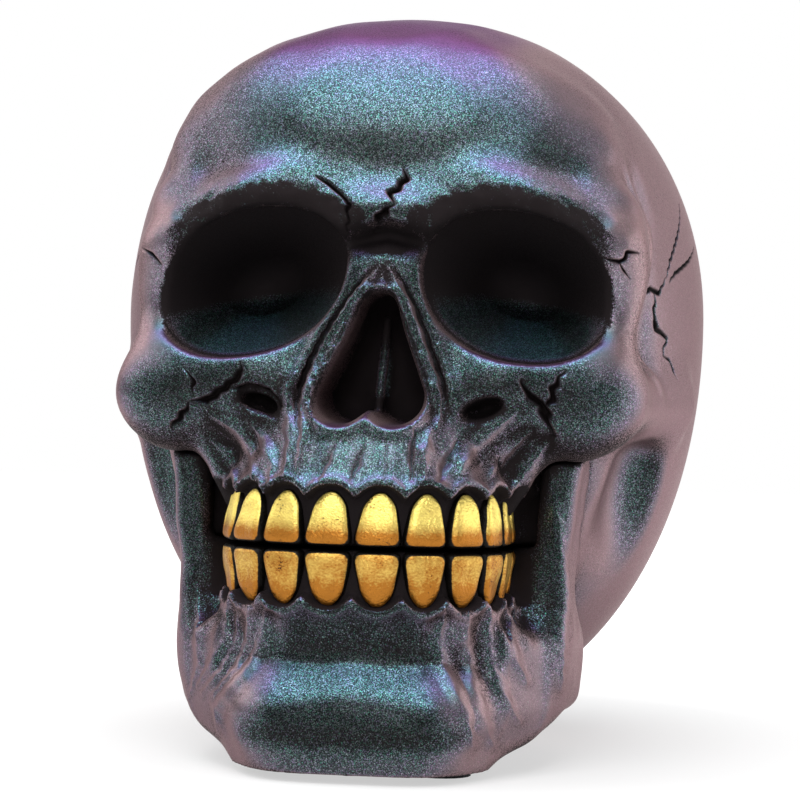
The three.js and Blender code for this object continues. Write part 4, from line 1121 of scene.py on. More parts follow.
    def form(self, x: Array, y: Array, z: Array) -> Array:
        """Distance to the cranium."""
        x = self.aside(x, y, z)
        arch = self.arch
        d = self.bones(x, y, z) - self.relief(x, y, z)
        notch_z = z - self.nose_top_z - self.bridge_rise - self.notch_rise + self.notch_slant * x
        d = cut(d, ellipsoid(x, y - self.notch_y, notch_z, *self.notch_half), self.notch_seam)
        tilt = z - self.foramen_z - self.foramen_tilt * (x - self.foramen_x)
        pit = ellipsoid(x - self.foramen_x, y - self.foramen_y, tilt, *self.foramen_half)
        d = cut(d, pit, self.tight_seam)
        d = d + self.hand_depth * lumps(x, y, z, self.hand_lump) * ramp(*self.hand_end, y)
        inward = self.orbit_outline(x, z) + self.orbit_taper * np.maximum(y - self.rim_y, 0.0)
        socket = meet(inward, y - self.rim_y - self.orbit_depth, self.orbit_back_rounding)
        d = cut(d, socket, self.orbit_edge)
        d = cut(d, meet(self.nose_outline(x, z), y - self.nose_back_y, self.seam), self.nose_edge)
        d = join(d, rod(x, y, z, self.nose_plate), self.nose_plate_seam)
        mouth = meet(z - arch.bite_z - arch.bite_gap / 2, y - self.mouth_back_y, self.tight_seam)
        d = cut(d, mouth, self.tight_seam / 2)
        rim = np.sqrt(x**2 + (y - self.foot_y) ** 2) - self.hole_rim_radius
        d = cut(d, np.maximum(rim, z - self.base_z - self.hole_rim_depth), self.hole_rim_seam)
        return np.maximum(d, self.base_z - z)

    def temple_y(self, z: Array) -> Array:
        """Where the wavy line of the temple runs at a height."""
        wave = self.temple_wave * np.sin((z - self.temple_wave_z) / self.temple_wave_size)
        return self.temple_line_y - wave + self.temple_sweep * np.maximum(z - self.temple_sweep_z, 0.0)

    def black_paint_and_shade(self, x: Array, y: Array, z: Array) -> Array:
        """Black in the eye sockets, in the nose and round the teeth; painted shade under the brow, at the
        root of the nose, below the sockets, over the nose opening and in the valley above the brow.
        """
        p, arch = self.painting, self.arch
        x = self.aside(x, y, z)
        outline, dz = self.orbit_outline(x, z), self.orbit_rise(x, z)
        socket = ramp(*p.socket_edge, outline) * ramp(*p.socket_front, y - self.rim_y)
        ragged = outline + grit(x, y, z, *p.brow_grit)
        squeeze = p.brow_streak_squeeze
        streak = p.brow_cover + p.brow_streak * lumps(squeeze * x, squeeze * y, ragged, p.brow_streak_size)
        # Painted shade under the brow, ragged and streaked
        brow = ramp(*p.brow_edge, ragged) * ramp(*p.brow_rise, dz) * streak
        brow = brow * ramp(*p.brow_end, x - self.orbit_x)
        nose = ramp(*p.nose_edge, self.nose_outline(x, z))
        edge = arch.past_gum(z - arch.upper_gum_z, arch.along(x, y))
        gum = ramp(*p.gum_edge, edge) * ramp(self.maxilla_y, self.maxilla_y - p.gum_back, y)
        # Painted shade in the notch at the root of the nose
        root_z = self.nose_top_z + self.bridge_rise + p.root_rise
        root = ramp(*p.root_edge, patch(x, y, z, (0.0, root_z), p.root_half, p.root_ragged))
        cheek = ramp(*p.cheek_edge, patch(x, y, z, p.cheek_place, p.cheek_half, p.cheek_ragged))
        valley = swells(outline, (p.valley,)) * ramp(*p.valley_fall, dz)
        valley = valley * ramp(*p.valley_outer, x) * ramp(*p.valley_inner, x)
        # Painted shade below the eye sockets, over the nose opening and in the valley above the brow
        light = np.maximum(np.maximum(p.cheek_share * cheek, p.roof_share * self.roof(x, z)), valley)
        layers = (socket, brow, root, nose, gum, light * ramp(*p.front, y))
        return functools.reduce(np.maximum, layers) * ramp(*p.face_end, y)

    def painted_glint(self, points: Array, normals: Array) -> Array:
        """Painted highlight: the paint shows lit on the floors of the sockets, on the septum in the nose,
        over the front teeth and along the gum's edge.
        """
        p, arch = self.painting, self.arch
        x, y, z = points.T
        x = self.aside(x, y, z)
        edge = arch.past_gum(z - arch.upper_gum_z, arch.along(x, y))
        gum = swells(z, (p.gum_glint,)) * ramp(*p.gum_glint_end, x)
        lip = swells(edge, (p.lip_glint,)) * ramp(self.maxilla_y, self.maxilla_y - p.gum_back, y)
        floor = p.floor_glint * self.inside(x, y, z) * ramp(*p.floor_slope, normals[:, 2])
        septum = ramp(*p.septum_x, x) * ramp(*p.septum_edge, self.nose_outline(x, z))
        return functools.reduce(np.maximum, (floor, septum * swells(z, (p.septum_glint,)), gum, lip))

    def roof(self, x: Array, z: Array) -> Array:
        """How far a point lies on the small facet over the nose opening, from 0 to 1."""
        wide, high = self.painting.roof_half
        return ramp(*self.painting.roof_edge, square_norm(x / wide, (z - self.painting.roof_z) / high, 2))

    def inside(self, x: Array, y: Array, z: Array) -> Array:
        """How far a point lies in an eye socket, from 0 to 1."""
        p = self.painting
        deep = ramp(*p.inside_front, y - self.rim_y) * ramp(*p.inside_back, y)
        return ramp(*p.inside_edge, self.orbit_outline(x, z)) * deep

    def turned(self, points: Array) -> Array:
        """Painted reflection colour: teal on the floors of the sockets, rose grey on their outer rims, lilac
        over the teeth.
        """
        p = self.painting
        x, y, z = points.T
        shelf = swells(z, (p.shelf_teal,)) * bump(x, *p.shelf_place)
        shelf = shelf - p.crown_rose * ramp(*p.crown_rose_x, x) * ramp(*p.crown_rose_z, z)
        x = self.aside(x, y, z)
        wide, high = p.lilac_stretch
        streaks = 0.5 + 0.5 * lumps(wide * x, y, high * z, p.lilac_size)
        lilac = streaks * ramp(*p.lilac_end, x) * swells(z, (p.lilac,))
        rims = ramp(*p.rim_x, x) * ramp(*p.rim_y, y) * ramp(*p.rim_low, z) * ramp(*p.rim_high, z)
        front = (shelf - lilac - p.roof_rose * self.roof(x, z)) * ramp(*p.front, y)
        return p.inside_teal * self.inside(x, y, z) - p.rim_rose * rims + front

    def axes(self) -> tuple[Array, Array, Array]:
        """Fine lines over the face, coarser ones behind it."""
        fine, coarse, margin = self.fine_step, self.coarse_step, self.grid_margin
        half = lines((fine / 2, self.grid_face_x, fine), (self.grid_face_x, self.width / 2 + margin, fine))
        front, back = self.arch.front_y - self.grid_front_margin, self.centre_y + self.length / 2 + margin
        low, high = self.grid_face_z
        return (
            np.concatenate([-half[::-1], half]),
            lines((front, self.grid_face_y, fine), (self.grid_face_y, back, coarse)),
            lines((self.base_z - margin, low, coarse), (low, high, fine), (high, self.top + margin, coarse)),
        )


@dataclass(frozen=True)
class JawPainting:
    """Where the jaw's black paint and painted shade lie, where painted highlight lifts them, and where its
    painted reflection colour turns.
    """

    gum_edge: Span = (0.2, -0.4)
    gum_reach: Span = (4.0, 2.0)
    lip_glint: Swell = (0.85, 0.9, 0.6)
    recess_share: float = 0.42
    recess_x: Span = (13.0, 10.0)
    recess_low: Span = (18.5, 20.0)
    recess_high: Span = (28.0, 26.0)
    roll: Swell = (0.36, 7.2, 2.4)
    roll_x: Span = (20.0, 15.0)
    band_teal: Swell = (0.12, 14.0, 5.0)
    band_x: Span = (17.0, 12.0)
    branch_teal: float = 0.12
    branch_x: Span = (28.0, 31.0)
    branch_z: Span = (30.0, 38.0)
    fold_rose: Swell = (0.24, 17.5, 4.5)
    fold_high: Span = (31.0, 26.0)
    fold_low: Span = (7.0, 12.0)
    under_rose: float = 0.12
    under_z: Span = (6.5, 4.0)


@dataclass
class Mandible(Casting):
    """The lower jaw, bonded under the cranium."""

    chin_front_y: float = -68.0
    chin_half_width: float = 18.0
    chin_depth: float = 9.0
    chin_z: float = 8.0
    chin_half_height: float = 12.6
    chin_lean: float = 0.62
    chin_peak: float = 1.6
    chin_peak_width: float = 6.0
    chin_tuck: float = 0.25
    chin_tuck_z: float = 5.5
    chin_squareness: float = 2.6
    chin_crease_z: float = 10.6
    chin_crease_rounding: float = 3.0
    chin_recess: float = 6.0
    recess_z: Span = (11.0, 19.0)
    recess_x: Span = (24.0, 14.0)
    shield_half_width: float = 19.0
    shield_spread: float = -0.2
    shield_seam: float = 4.0
    body_back_x: float = 28.6
    base_inset: float = 0.12
    base_inset_z: Span = (11.0, 2.0)
    angle_x: float = 27.2
    angle_y: float = -28.0
    body_top: float = 24.0
    border_rise: float = 8.0
    front_thickness: float = 6.4
    middle_thickness: float = 5.0
    back_thickness: float = 4.2
    corner_share: float = 0.62
    corner_setback: float = 1.0
    side_setback: float = 7.0
    middle_share: float = 0.66
    inner_wall: tuple[Knot, ...] = ((24.5, -37.0, 14.0, 5.0), (25.5, -32.0, 40.0, 5.4))
    ramus_top_z: float = 52.0
    ramus_top_x: float = 31.8
    ramus_radius: float = 3.4
    ramus_length: float = 12.0
    ramus_lean: float = 3.0
    ramus_twist: Span = (0.1, 0.15)
    bond_gap: float = 0.35
    flank_wash: float = 0.18
    hand_lump: float = 6.0
    gum_overlap: float = 4.0
    root_relief: float = 0.25
    root_end: Span = (8.0, 4.0)
    grid_half_width: float = 42.0
    grid_front_margin: float = 4.0
    grid_front_y: float = -45.0
    grid_back_margin: float = 12.0
    grid_top_margin: float = 8.0
    painting: JawPainting = JawPainting()
    cranium: Cranium = field(default_factory=Cranium)

    def above(self, v: Array) -> Array:
        """What lies above zero, with the kink rounded."""
        return 0.5 * (v + np.sqrt(v**2 + self.chin_crease_rounding))

    def body(self, x: Array, y: Array, z: Array, lift: Array) -> Array:
        """The horseshoe of the jaw with the shield of the chin, its lower border lifted towards the back."""
        front_y = self.chin_front_y + self.chin_depth
        half, thick, body_z = self.chin_half_width, self.front_thickness, self.body_top / 2
        recess = self.chin_recess * ramp(*self.recess_z, z) * ramp(*self.recess_x, x)
        side_x, side_y = mix(half, self.body_back_x, self.middle_share), mix(front_y, self.angle_y, 0.5)
        plan = rod(x * (1.0 + self.base_inset * ramp(*self.base_inset_z, z)), y - recess, np.zeros(1), [
            (0.0, front_y, 0.0, thick),
            (half * self.corner_share, front_y + self.corner_setback, 0.0, thick),
            (half, front_y + self.side_setback, 0.0, thick),
            (side_x, side_y, 0.0, self.middle_thickness),
            (self.body_back_x, self.angle_y, 0.0, self.back_thickness)])
        d = meet(plan, np.abs(z - lift / 2 - body_z) - body_z + lift / 2, self.seam)
        wide = self.shield_half_width + self.shield_spread * (self.chin_z - z)
        over = z - self.chin_crease_z - self.chin_peak * bump(x, 0.0, self.chin_peak_width)
        leaning = y - front_y - self.chin_lean * self.above(over)
        leaning = leaning - self.chin_tuck * self.above(self.chin_tuck_z - z)
        high = z - self.chin_z
        shield = pebble(x, leaning, high, wide, self.chin_depth, self.chin_half_height, self.chin_squareness)
        return join(d, shield, self.shield_seam)

    def bare(self, x: Array, y: Array, z: Array) -> Array:
        """Distance to the jaw before it is fitted to the cranium."""
        x = self.aside(x, y, z)
        arch = self.arch
        lift = self.border_rise * ramp(self.chin_front_y + self.chin_depth, self.angle_y, y)
        d = join(self.body(x, y, z, lift), rod(x, y, z, self.inner_wall), self.seam)
        under = arch.lower_gum_z - z
        distance = arch.along(x, y)
        bed, lip = arch.gum_edge(under, distance)
        gum_half = arch.bite_z / 2 - lift / 2 + self.gum_overlap
        plan = arch.plan(x, y, bed + np.clip(under, 0.0, arch.lower_gum_height) * arch.lower_gum_lean)
        gum = meet(plan - lip, np.abs(z - arch.bite_z / 2 - lift / 2) - gum_half, self.tight_seam)
        d = join(d, gum, self.seam) - self.root_relief * arch.roots(under, distance, self.root_end)
        low, high = self.ramus_twist
        r, body_z = self.ramus_radius, self.body_top / 2
        for shift in (-self.ramus_length, -self.ramus_length / 2, 0.0):
            branch_y = self.angle_y + shift
            branch = rod(x, y, z, [
                (self.angle_x, branch_y, body_z + self.border_rise / 2, r),
                (self.angle_x - shift * low, branch_y, mix(body_z, self.ramus_top_z, 0.5), r),
                (self.ramus_top_x + shift * high, branch_y - self.ramus_lean, self.ramus_top_z, r)])
            d = join(d, branch, self.seam)
        d = d + self.hand_depth * lumps(x, y, z, self.hand_lump)
        within = arch.plan(x, y, -2 * arch.tooth_bed)
        d = cut(d, meet(arch.bite_z - arch.bite_gap / 2 - z, within, self.tight_seam), self.tight_seam / 2)
        return np.maximum(d, self.base_z - z)

    def form(self, x: Array, y: Array, z: Array) -> Array:
        """Distance to the jaw, cut to fit under the cranium."""
        return np.maximum(self.bare(x, y, z), self.bond_gap - self.cranium.form(x, y, z))

    def black_paint_and_shade(self, x: Array, y: Array, z: Array) -> Array:
        """Black paint round the teeth; painted shade in the recess under them and along the roll of the chin.
        """
        p, arch = self.painting, self.arch
        x = self.aside(x, y, z)
        edge = arch.past_gum(arch.lower_gum_z - z, arch.along(x, y))
        gum = ramp(*p.gum_edge, edge) * ramp(*p.gum_reach, arch.plan(x, y, 0.0))
        # Painted shade in the recess under the gum and along the roll of the chin
        recess = ramp(*p.recess_x, x) * ramp(*p.recess_low, z) * ramp(*p.recess_high, z)
        roll = swells(z, (p.roll,)) * ramp(*p.roll_x, x)
        return np.maximum(np.maximum(gum, p.recess_share * recess), roll)

    def painted_glint(self, points: Array, normals: Array) -> Array:
        """Painted highlight: a lit line of paint along the edge of the gum."""
        p, arch = self.painting, self.arch
        x, y, z = points.T
        x = self.aside(x, y, z)
        edge = arch.past_gum(arch.lower_gum_z - z, arch.along(x, y))
        return swells(edge, (p.lip_glint,)) * ramp(*p.gum_reach, arch.plan(x, y, 0.0))

    def turned(self, points: Array) -> Array:
        """Painted reflection colour: teal on the slope of the chin and up the branches, rose grey on the
        folds and under the chin.
        """
        p = self.painting
        x, y, z = points.T
        x = self.aside(x, y, z)
        band = ramp(*p.band_x, x) * swells(z, (p.band_teal,))
        branch = p.branch_teal * ramp(*p.branch_x, x) * ramp(*p.branch_z, z)
        folds = swells(x, (p.fold_rose,)) * ramp(*p.fold_high, z) * ramp(*p.fold_low, z)
        return band + branch - folds - p.under_rose * ramp(*p.under_z, z)

    def axes(self) -> tuple[Array, Array, Array]:
        """Fine lines over the jaw, coarser ones along its back."""
        fine = self.fine_step
        half = lines((fine / 2, self.grid_half_width, fine))
        front, back = self.chin_front_y - self.grid_front_margin, self.angle_y + self.grid_back_margin
        return (
            np.concatenate([-half[::-1], half]),
            lines((front, self.grid_front_y, fine), (self.grid_front_y, back, self.coarse_step)),
            lines((self.base_z - self.grid_margin, self.ramus_top_z + self.grid_top_margin, fine)),
        )


@dataclass
class Tooth:
    """A gilded tooth: a squared pebble, wide at the bite and narrow at the gum."""

    arch: DentalArch
    order: int
    side: int
    upper: bool
    gap: float = 0.8
    depth: float = 6.4
    upper_height: float = 8.8
    lower_height: float = 9.0
    flare: float = 1.16
    neck: float = 0.62
    root: float = 0.7
    root_run: float = 0.7
    bite_squareness: float = 6.0
    gum_squareness: float = 2.3
    squareness_run: Span = (-0.5, 0.7)
    face_squareness: float = 5.0
    face_lean: float = 1.5
    proud: float = 0.5
    dent: float = 0.12
    dent_waves: Span = (3.1, 2.3)
    ripple: float = 0.06
    ripple_wave: float = 6.0
    seed_steps: Span = (2.1, 0.7)
    outline_wash: Span = (0.85, 0.97)
    back_wash: Span = (0.5, -0.2)
    upper_worn: float = 1.1
    upper_worn_run: Span = (0.1, -0.8)
    lower_worn: Span = (0.65, 1.0)
    lower_worn_run: Span = (-0.3, 0.6)
    rows: int = 16

    @property
    def name(self) -> str:
        """The CAD node that the tooth stands for."""
        row = "upper" if self.upper else "lower"
        return f"tooth_{row}_{'left' if self.side > 0 else 'right'}_{self.order + 1}"

    def ball(self) -> tuple[Array, Array]:
        """A ball of quads on the six sides of a cube: unit points and faces."""
        steps = np.tan(np.linspace(-1.0, 1.0, self.rows + 1) * math.pi / 4)
        u, v = np.meshgrid(steps, steps, indexing="ij")
        one = np.ones_like(u)
        sheets = [(one, u, v), (-one, v, u), (v, one, u), (u, -one, v), (u, v, one), (v, u, -one)]
        points = np.concatenate([np.stack(s, axis=-1).reshape(-1, 3) for s in sheets])
        n = self.rows + 1
        cell = (np.arange(self.rows)[:, None] * n + np.arange(self.rows)[None, :]).ravel()
        quad = np.stack([cell, cell + n, cell + n + 1, cell + 1], axis=1)
        faces = np.concatenate([quad + i * n * n for i in range(len(sheets))])
        points, merged = np.unique(np.round(points, 6), axis=0, return_inverse=True)
        return points / np.linalg.norm(points, axis=1)[:, None], merged.reshape(-1)[faces]

    def build(self) -> bpy.types.Object:
        """Meshes the tooth, with the black wash along its outline and painted shade, browner towards its
        bottom.
        """
        arch = self.arch
        pitch = arch.pitches[self.order]
        rise = 1.0 if self.upper else -1.0
        ball, faces = self.ball()
        square = ramp(*self.squareness_run, ball[:, 2] * rise)
        square = mix(self.bite_squareness, self.gum_squareness, square)[:, None]
        flat = self.face_squareness
        outline = np.sum(np.abs(ball[:, [0, 2]]) ** square, axis=1) ** (1 / square[:, 0])
        norm = (outline**flat + np.abs(ball[:, 1]) ** flat) ** (1 / flat)
        across, out, high = (ball / norm[:, None]).T
        gumward = high * rise
        place, way, outward = arch.stand(sum(arch.pitches[:self.order]) + pitch / 2)
        height = self.upper_height if self.upper else self.lower_height
        narrow = mix(self.root, 1.0, np.clip(self.root_run * (out + 1.0), 0.0, 1.0))
        half = (pitch - self.gap) / 2
        wide = across * half * narrow * mix(self.flare, self.neck, (gumward + 1.0) / 2)
        seed = self.order * self.seed_steps[0] + self.side * self.seed_steps[1] + rise
        wave_across, wave_up = self.dent_waves
        dents = self.dent * np.sin(wave_across * across + seed) * np.sin(wave_up * high + 2.0 * seed)
        dents = dents + self.ripple * np.sin(self.ripple_wave * high + seed)
        deep = out * self.depth / 2 - self.depth / 2 + self.proud
        deep = deep + dents * np.clip(out, 0.0, 1.0) - self.face_lean * (gumward + 1.0) / 2
        made = np.stack([
            self.side * (place[0] + way[0] * wide + outward[0] * deep),
            place[1] + way[1] * wide + outward[1] * deep,
            arch.bite_z + rise * (arch.bite_gap + height) / 2 + high * height / 2], axis=1)
        made[:, 0] += arch.lean(made[:, 1], made[:, 2])
        if self.side < 0:
            faces = faces[:, ::-1]
        wash = np.clip(ramp(*self.outline_wash, outline / norm) + ramp(*self.back_wash, out), 0.0, 1.0)
        # Painted shade: upper teeth browner towards the bite, lower teeth browner all over and towards the
        # gum
        if self.upper:
            worn = self.upper_worn * ramp(*self.upper_worn_run, gumward)
        else:
            worn = mix(*self.lower_worn, ramp(*self.lower_worn_run, gumward))
        return mesh_object(f"gilt_{self.name}", made, faces, wash=wash, worn=worn)


def linear(code: str) -> tuple[float, float, float, float]:
    """A colour written as sRGB hex, in linear light with full cover."""
    rgb = [int(code[i:i + 2], 16) / 255 for i in (1, 3, 5)]
    return (*(c / 12.92 if c <= 0.04045 else ((c + 0.055) / 1.055) ** 2.4 for c in rgb), 1.0)


class Graph:
    """The node tree of a material or of the world."""

    def __init__(self, owner: bpy.types.Material | bpy.types.World) -> None:
        """Starts an empty tree."""
        self.owner = owner
        owner.use_nodes = True
        self.tree = owner.node_tree
        self.tree.nodes.clear()

    def add(self, kind: str, settings: dict | None = None, **inputs: Input) -> bpy.types.Node:
        """Adds a node.

        Args:
            kind: Node type, without the ShaderNode prefix.
            settings: Properties of the node.
            inputs: Input sockets by name, with _ for a space, or by i and number: a socket or a value.

        Returns:
            The node.
        """
        node = self.tree.nodes.new("ShaderNode" + kind)
        for key, value in (settings or {}).items():
            setattr(node, key, value)
        for key, value in inputs.items():
            socket = node.inputs[int(key[1:])] if key[1:].isdigit() else node.inputs[key.replace("_", " ")]
            if isinstance(value, bpy.types.NodeSocket):
                self.tree.links.new(value, socket)
            else:
                socket.default_value = value
        return node

    def sum(self, operation: str, *values: Input) -> bpy.types.NodeSocket:
        """A sum on numbers, by the name of its operation."""
        inputs = {f"i{n}": value for n, value in enumerate(values)}
        return self.add("Math", {"operation": operation}, **inputs).outputs[0]

    def span(
        self, value: Input, source: Span = (0.0, 1.0), target: Span = (0.0, 1.0), smooth: bool = False,
    ) -> bpy.types.NodeSocket:
        """A number carried from one span to another and cut off at its ends."""
        settings = {"interpolation_type": "SMOOTHSTEP"} if smooth else None
        return self.add(
            "MapRange", settings, Value=value, From_Min=source[0], From_Max=source[1],
            To_Min=target[0], To_Max=target[1]).outputs[0]

    def blend(self, share: Input, a: Input, b: Input) -> bpy.types.NodeSocket:
        """A colour between two."""
        return self.add("Mix", {"data_type": "RGBA"}, Factor=share, A=a, B=b).outputs["Result"]

    def held(self, name: str) -> bpy.types.NodeSocket:
        """A value that the mesh holds at its points."""
        return self.add("Attribute", {"attribute_name": name}).outputs["Fac"]

    def noise(self, size_mm: float, **inputs: Input) -> bpy.types.NodeSocket:
        """Noise in object space with patches of about that size."""
        place = self.add("TexCoord").outputs["Object"]
        return self.add("TexNoise", Vector=place, Scale=1.0 / (size_mm * MM), **inputs).outputs["Fac"]

    def stops(self, value: Input, stops: Stops) -> bpy.types.NodeSocket:
        """A colour ramp with stops given as (position, sRGB hex)."""
        node = self.add("ValToRGB", Fac=value)
        elements = node.color_ramp.elements
        while len(elements) < len(stops):
            elements.new(0.5)
        for element, (position, code) in zip(elements, stops):
            element.position = position
            element.color = linear(code)
        return node.outputs["Color"]

    def seen(self, where: Input = 1.0) -> bpy.types.NodeSocket:
        """1 for rays straight from the eye and, in that share, for rays from mirrors and through glass."""
        path = self.add("LightPath").outputs
        mirrored = self.sum("MAXIMUM", path["Is Glossy Ray"], path["Is Transmission Ray"])
        return self.sum("MAXIMUM", path["Is Camera Ray"], self.sum("MULTIPLY", mirrored, where))

    def finish(
        self, shader: bpy.types.Node, output: str = "OutputMaterial",
    ) -> bpy.types.Material | bpy.types.World:
        """Links the shader to the output and returns the tree's owner."""
        self.add(output, Surface=shader.outputs[0])
        return self.owner


@dataclass(frozen=True)
class ColourShiftPaint:
    """Two-way colour-shift lacquer sprayed over black: fine interference flakes in a satin binder."""

    # Colours by facing, painted reflection and shade: dark square on, paler turned aside or up
    beside: Stops = (
        (0.0, "#9d8485"), (0.4, "#917c80"), (0.65, "#736d78"), (0.85, "#475253"), (1.0, "#2a3231"))
    above: Stops = (
        (0.0, "#75656f"), (0.38, "#6a4a66"), (0.56, "#604a6c"), (0.7, "#646488"), (0.81, "#526c7a"),
        (0.9, "#456266"), (0.96, "#344345"), (1.0, "#283031"))
    flake_tints: Stops = ((0.0, "#7fd0b6"), (0.4, "#bfc0ba"), (0.7, "#c99fd2"), (1.0, "#f2ece8"))
    slant_beside: str = "#b7a2a6"
    slant_above: str = "#8f6a98"
    wash: str = "#221e1f"
    gap: str = "#080606"
    flake_mm: float = 0.14
    cloud_mm: float = 14.3
    cloud_swing: float = 0.12
    rise_up: Span = (0.2, 0.65)
    rise_aside: Span = (0.15, 0.5)
    flash_steepness: float = 3.0
    flash_gain: Span = (0.25, 7.4)
    flash_turn: Span = (0.5, 0.9)
    flash_share: Span = (0.12, 0.9)
    wash_grain: float = 0.5
    wash_edge: Span = (0.5, 0.8)
    metallic: Span = (0.8, 0.1)
    gloss: Span = (0.5, 0.12)
    roughness: Span = (0.28, 0.48)
    wash_roughness: float = 0.25
    binder_ior: float = 1.5
    grit_mm: float = 2.38
    grit_flakes: float = 0.5
    grit_strength: float = 0.25
    grit_height_mm: float = 0.12

    def material(self) -> bpy.types.Material:
        """Builds the paint."""
        g = Graph(bpy.data.materials.new("colour_shift_paint"))
        place = g.add("TexCoord").outputs
        axis = g.add("SeparateXYZ", Vector=place["Normal"]).outputs
        # Painted by the surface's direction, partly the paint's colour shift and partly painted reflection
        # and shade: dark teal square on, through blue to violet turned up, paler rose grey turned aside
        cloud = g.noise(self.cloud_mm, Detail=3.0)
        shifted = g.sum("MULTIPLY_ADD", cloud, self.cloud_swing, g.sum("ABSOLUTE", axis["Y"]))
        evened = g.sum("SUBTRACT", shifted, self.cloud_swing / 2)
        turn = g.sum("ADD", g.held("turned"), evened)
        aside = g.stops(turn, self.beside)
        upward = g.stops(g.sum("MAXIMUM", turn, evened), self.above)
        lift = g.span(axis["Z"], self.rise_up, smooth=True)
        level = g.span(g.sum("ABSOLUTE", axis["X"]), self.rise_aside, (1.0, 0.0), smooth=True)
        rise = g.sum("MULTIPLY", lift, level)
        shade = g.blend(rise, aside, upward)
        # Some flakes flash cyan, some violet, and a few catch the light
        flakes = g.add("TexVoronoi", Vector=place["Object"], Scale=1.0 / (self.flake_mm * MM))
        grain = g.add("SeparateColor", Color=flakes.outputs["Color"]).outputs
        gain = g.span(g.sum("POWER", grain["Green"], self.flash_steepness), target=self.flash_gain)
        tint = g.stops(grain["Red"], self.flake_tints)
        flash = g.add("VectorMath", {"operation": "SCALE"}, i0=tint, Scale=gain).outputs[0]
        show = g.span(turn, self.flash_turn, self.flash_share)
        spark = g.add("Mix", {"data_type": "VECTOR"}, Factor=show, A=(1.0, 1.0, 1.0), B=flash)
        bright = g.add("VectorMath", {"operation": "MULTIPLY"}, i0=shade, i1=spark.outputs["Result"])
        # The wash and painted shade settle between the flakes, and cracks stay deep black
        crack_share = g.held("crack")
        washed = g.span(g.sum("MULTIPLY_ADD", grain["Blue"], self.wash_grain, g.held("wash")), self.wash_edge)
        dark = g.sum("MAXIMUM", washed, crack_share)
        colour = g.blend(dark, bright.outputs[0], linear(self.wash))
        satin = g.span(grain["Blue"], target=self.roughness)
        rough = g.noise(self.grit_mm, Detail=2.0)
        height = g.sum("MULTIPLY_ADD", grain["Green"], self.grit_flakes, rough)
        relief = g.add("Bump", Strength=self.grit_strength, Distance=self.grit_height_mm * MM, Height=height)
        return g.finish(g.add(
            "BsdfPrincipled", Base_Color=g.blend(crack_share, colour, linear(self.gap)),
            Metallic=g.span(dark, target=self.metallic),
            Roughness=g.sum("MULTIPLY_ADD", dark, self.wash_roughness, satin), IOR=self.binder_ior,
            Specular_IOR_Level=g.span(dark, target=self.gloss),
            Specular_Tint=g.blend(rise, linear(self.slant_beside), linear(self.slant_above)),
            Normal=relief.outputs[0]))


@dataclass(frozen=True)
class GoldLeaf:
    """Imitation gold leaf laid by brush over black size: brushed, browner in thin patches and where painted
    shade falls.
    """

    leaf: str = "#ffe67c"
    thin_and_shade_brown: str = "#ae7026"
    wash: str = "#0b0806"
    stroke_mm: Span = (0.4, 0.3)
    stroke_tilt: float = 0.5
    stroke_share: float = 0.7
    patch_mm: float = 3.85
    thin_and_shade_from: Span = (0.8, 1.7)
    missed_from: Span = (1.04, 1.12)
    wash_ragged: float = 0.4
    wash_edge: Span = (0.6, 0.85)
    metallic: Span = (0.85, 0.0)
    gloss: Span = (0.5, 0.15)
    roughness: Span = (0.22, 0.54)
    relief_strength: float = 0.6
    relief_mm: float = 0.4

    def material(self) -> bpy.types.Material:
        """Builds the gilding."""
        g = Graph(bpy.data.materials.new("gilding"))
        fine, long = (1.0 / (size * MM) for size in self.stroke_mm)
        brushed = g.add(
            "Mapping", Vector=g.add("TexCoord").outputs["Object"], Rotation=(0.0, self.stroke_tilt, 0.0),
            Scale=(fine, fine, long))
        stroke = g.add("TexNoise", Vector=brushed.outputs[0], Scale=1.0, Detail=3.0).outputs["Fac"]
        patches = g.noise(self.patch_mm, Detail=4.0, Roughness=0.6)
        both = g.sum("MULTIPLY_ADD", stroke, self.stroke_share, patches)
        # Brown where the leaf is thin in random patches and where the teeth carry painted shade
        thin_and_shaded = g.span(g.sum("ADD", both, g.held("worn")), self.thin_and_shade_from)
        warm = g.blend(thin_and_shaded, linear(self.leaf), linear(self.thin_and_shade_brown))
        missed = g.span(both, self.missed_from)
        line = g.span(g.sum("MULTIPLY_ADD", both, self.wash_ragged, g.held("wash")), self.wash_edge)
        dark = g.sum("MAXIMUM", missed, line)
        relief = g.add("Bump", Strength=self.relief_strength, Distance=self.relief_mm * MM, Height=both)
        return g.finish(g.add(
            "BsdfPrincipled", Base_Color=g.blend(dark, warm, linear(self.wash)),
            Metallic=g.span(dark, target=self.metallic), Roughness=g.span(stroke, target=self.roughness),
            Specular_IOR_Level=g.span(dark, target=self.gloss), Normal=relief.outputs[0]))


@dataclass(frozen=True)
class Matting:
    """A matt dark stuff with a fine grain, which takes the light evenly."""

    name: str
    dark: str
    pale: str
    grain_mm: float
    roughness: Span
    relief_strength: float
    relief_mm: float
    ior: float = 1.5
    distortion: float = 0.0
    detail: float = 3.0
    sheen: float = 0.0

    def material(self) -> bpy.types.Material:
        """Builds the stuff."""
        g = Graph(bpy.data.materials.new(self.name))
        grain = g.noise(self.grain_mm, Detail=self.detail, Distortion=self.distortion)
        relief = g.add("Bump", Strength=self.relief_strength, Distance=self.relief_mm * MM, Height=grain)
        return g.finish(g.add(
            "BsdfPrincipled", Base_Color=g.blend(grain, linear(self.dark), linear(self.pale)),
            Roughness=g.span(grain, target=self.roughness), IOR=self.ior, Sheen_Weight=self.sheen,
            Normal=relief.outputs[0]))


# Black rubber moulded against a sanded die: matt, with a fine grain
MOULDED_RUBBER = Matting("plug_rubber", "#1c1c1e", "#303033", 0.556, (0.65, 0.85), 0.2, 0.1, ior=1.52)
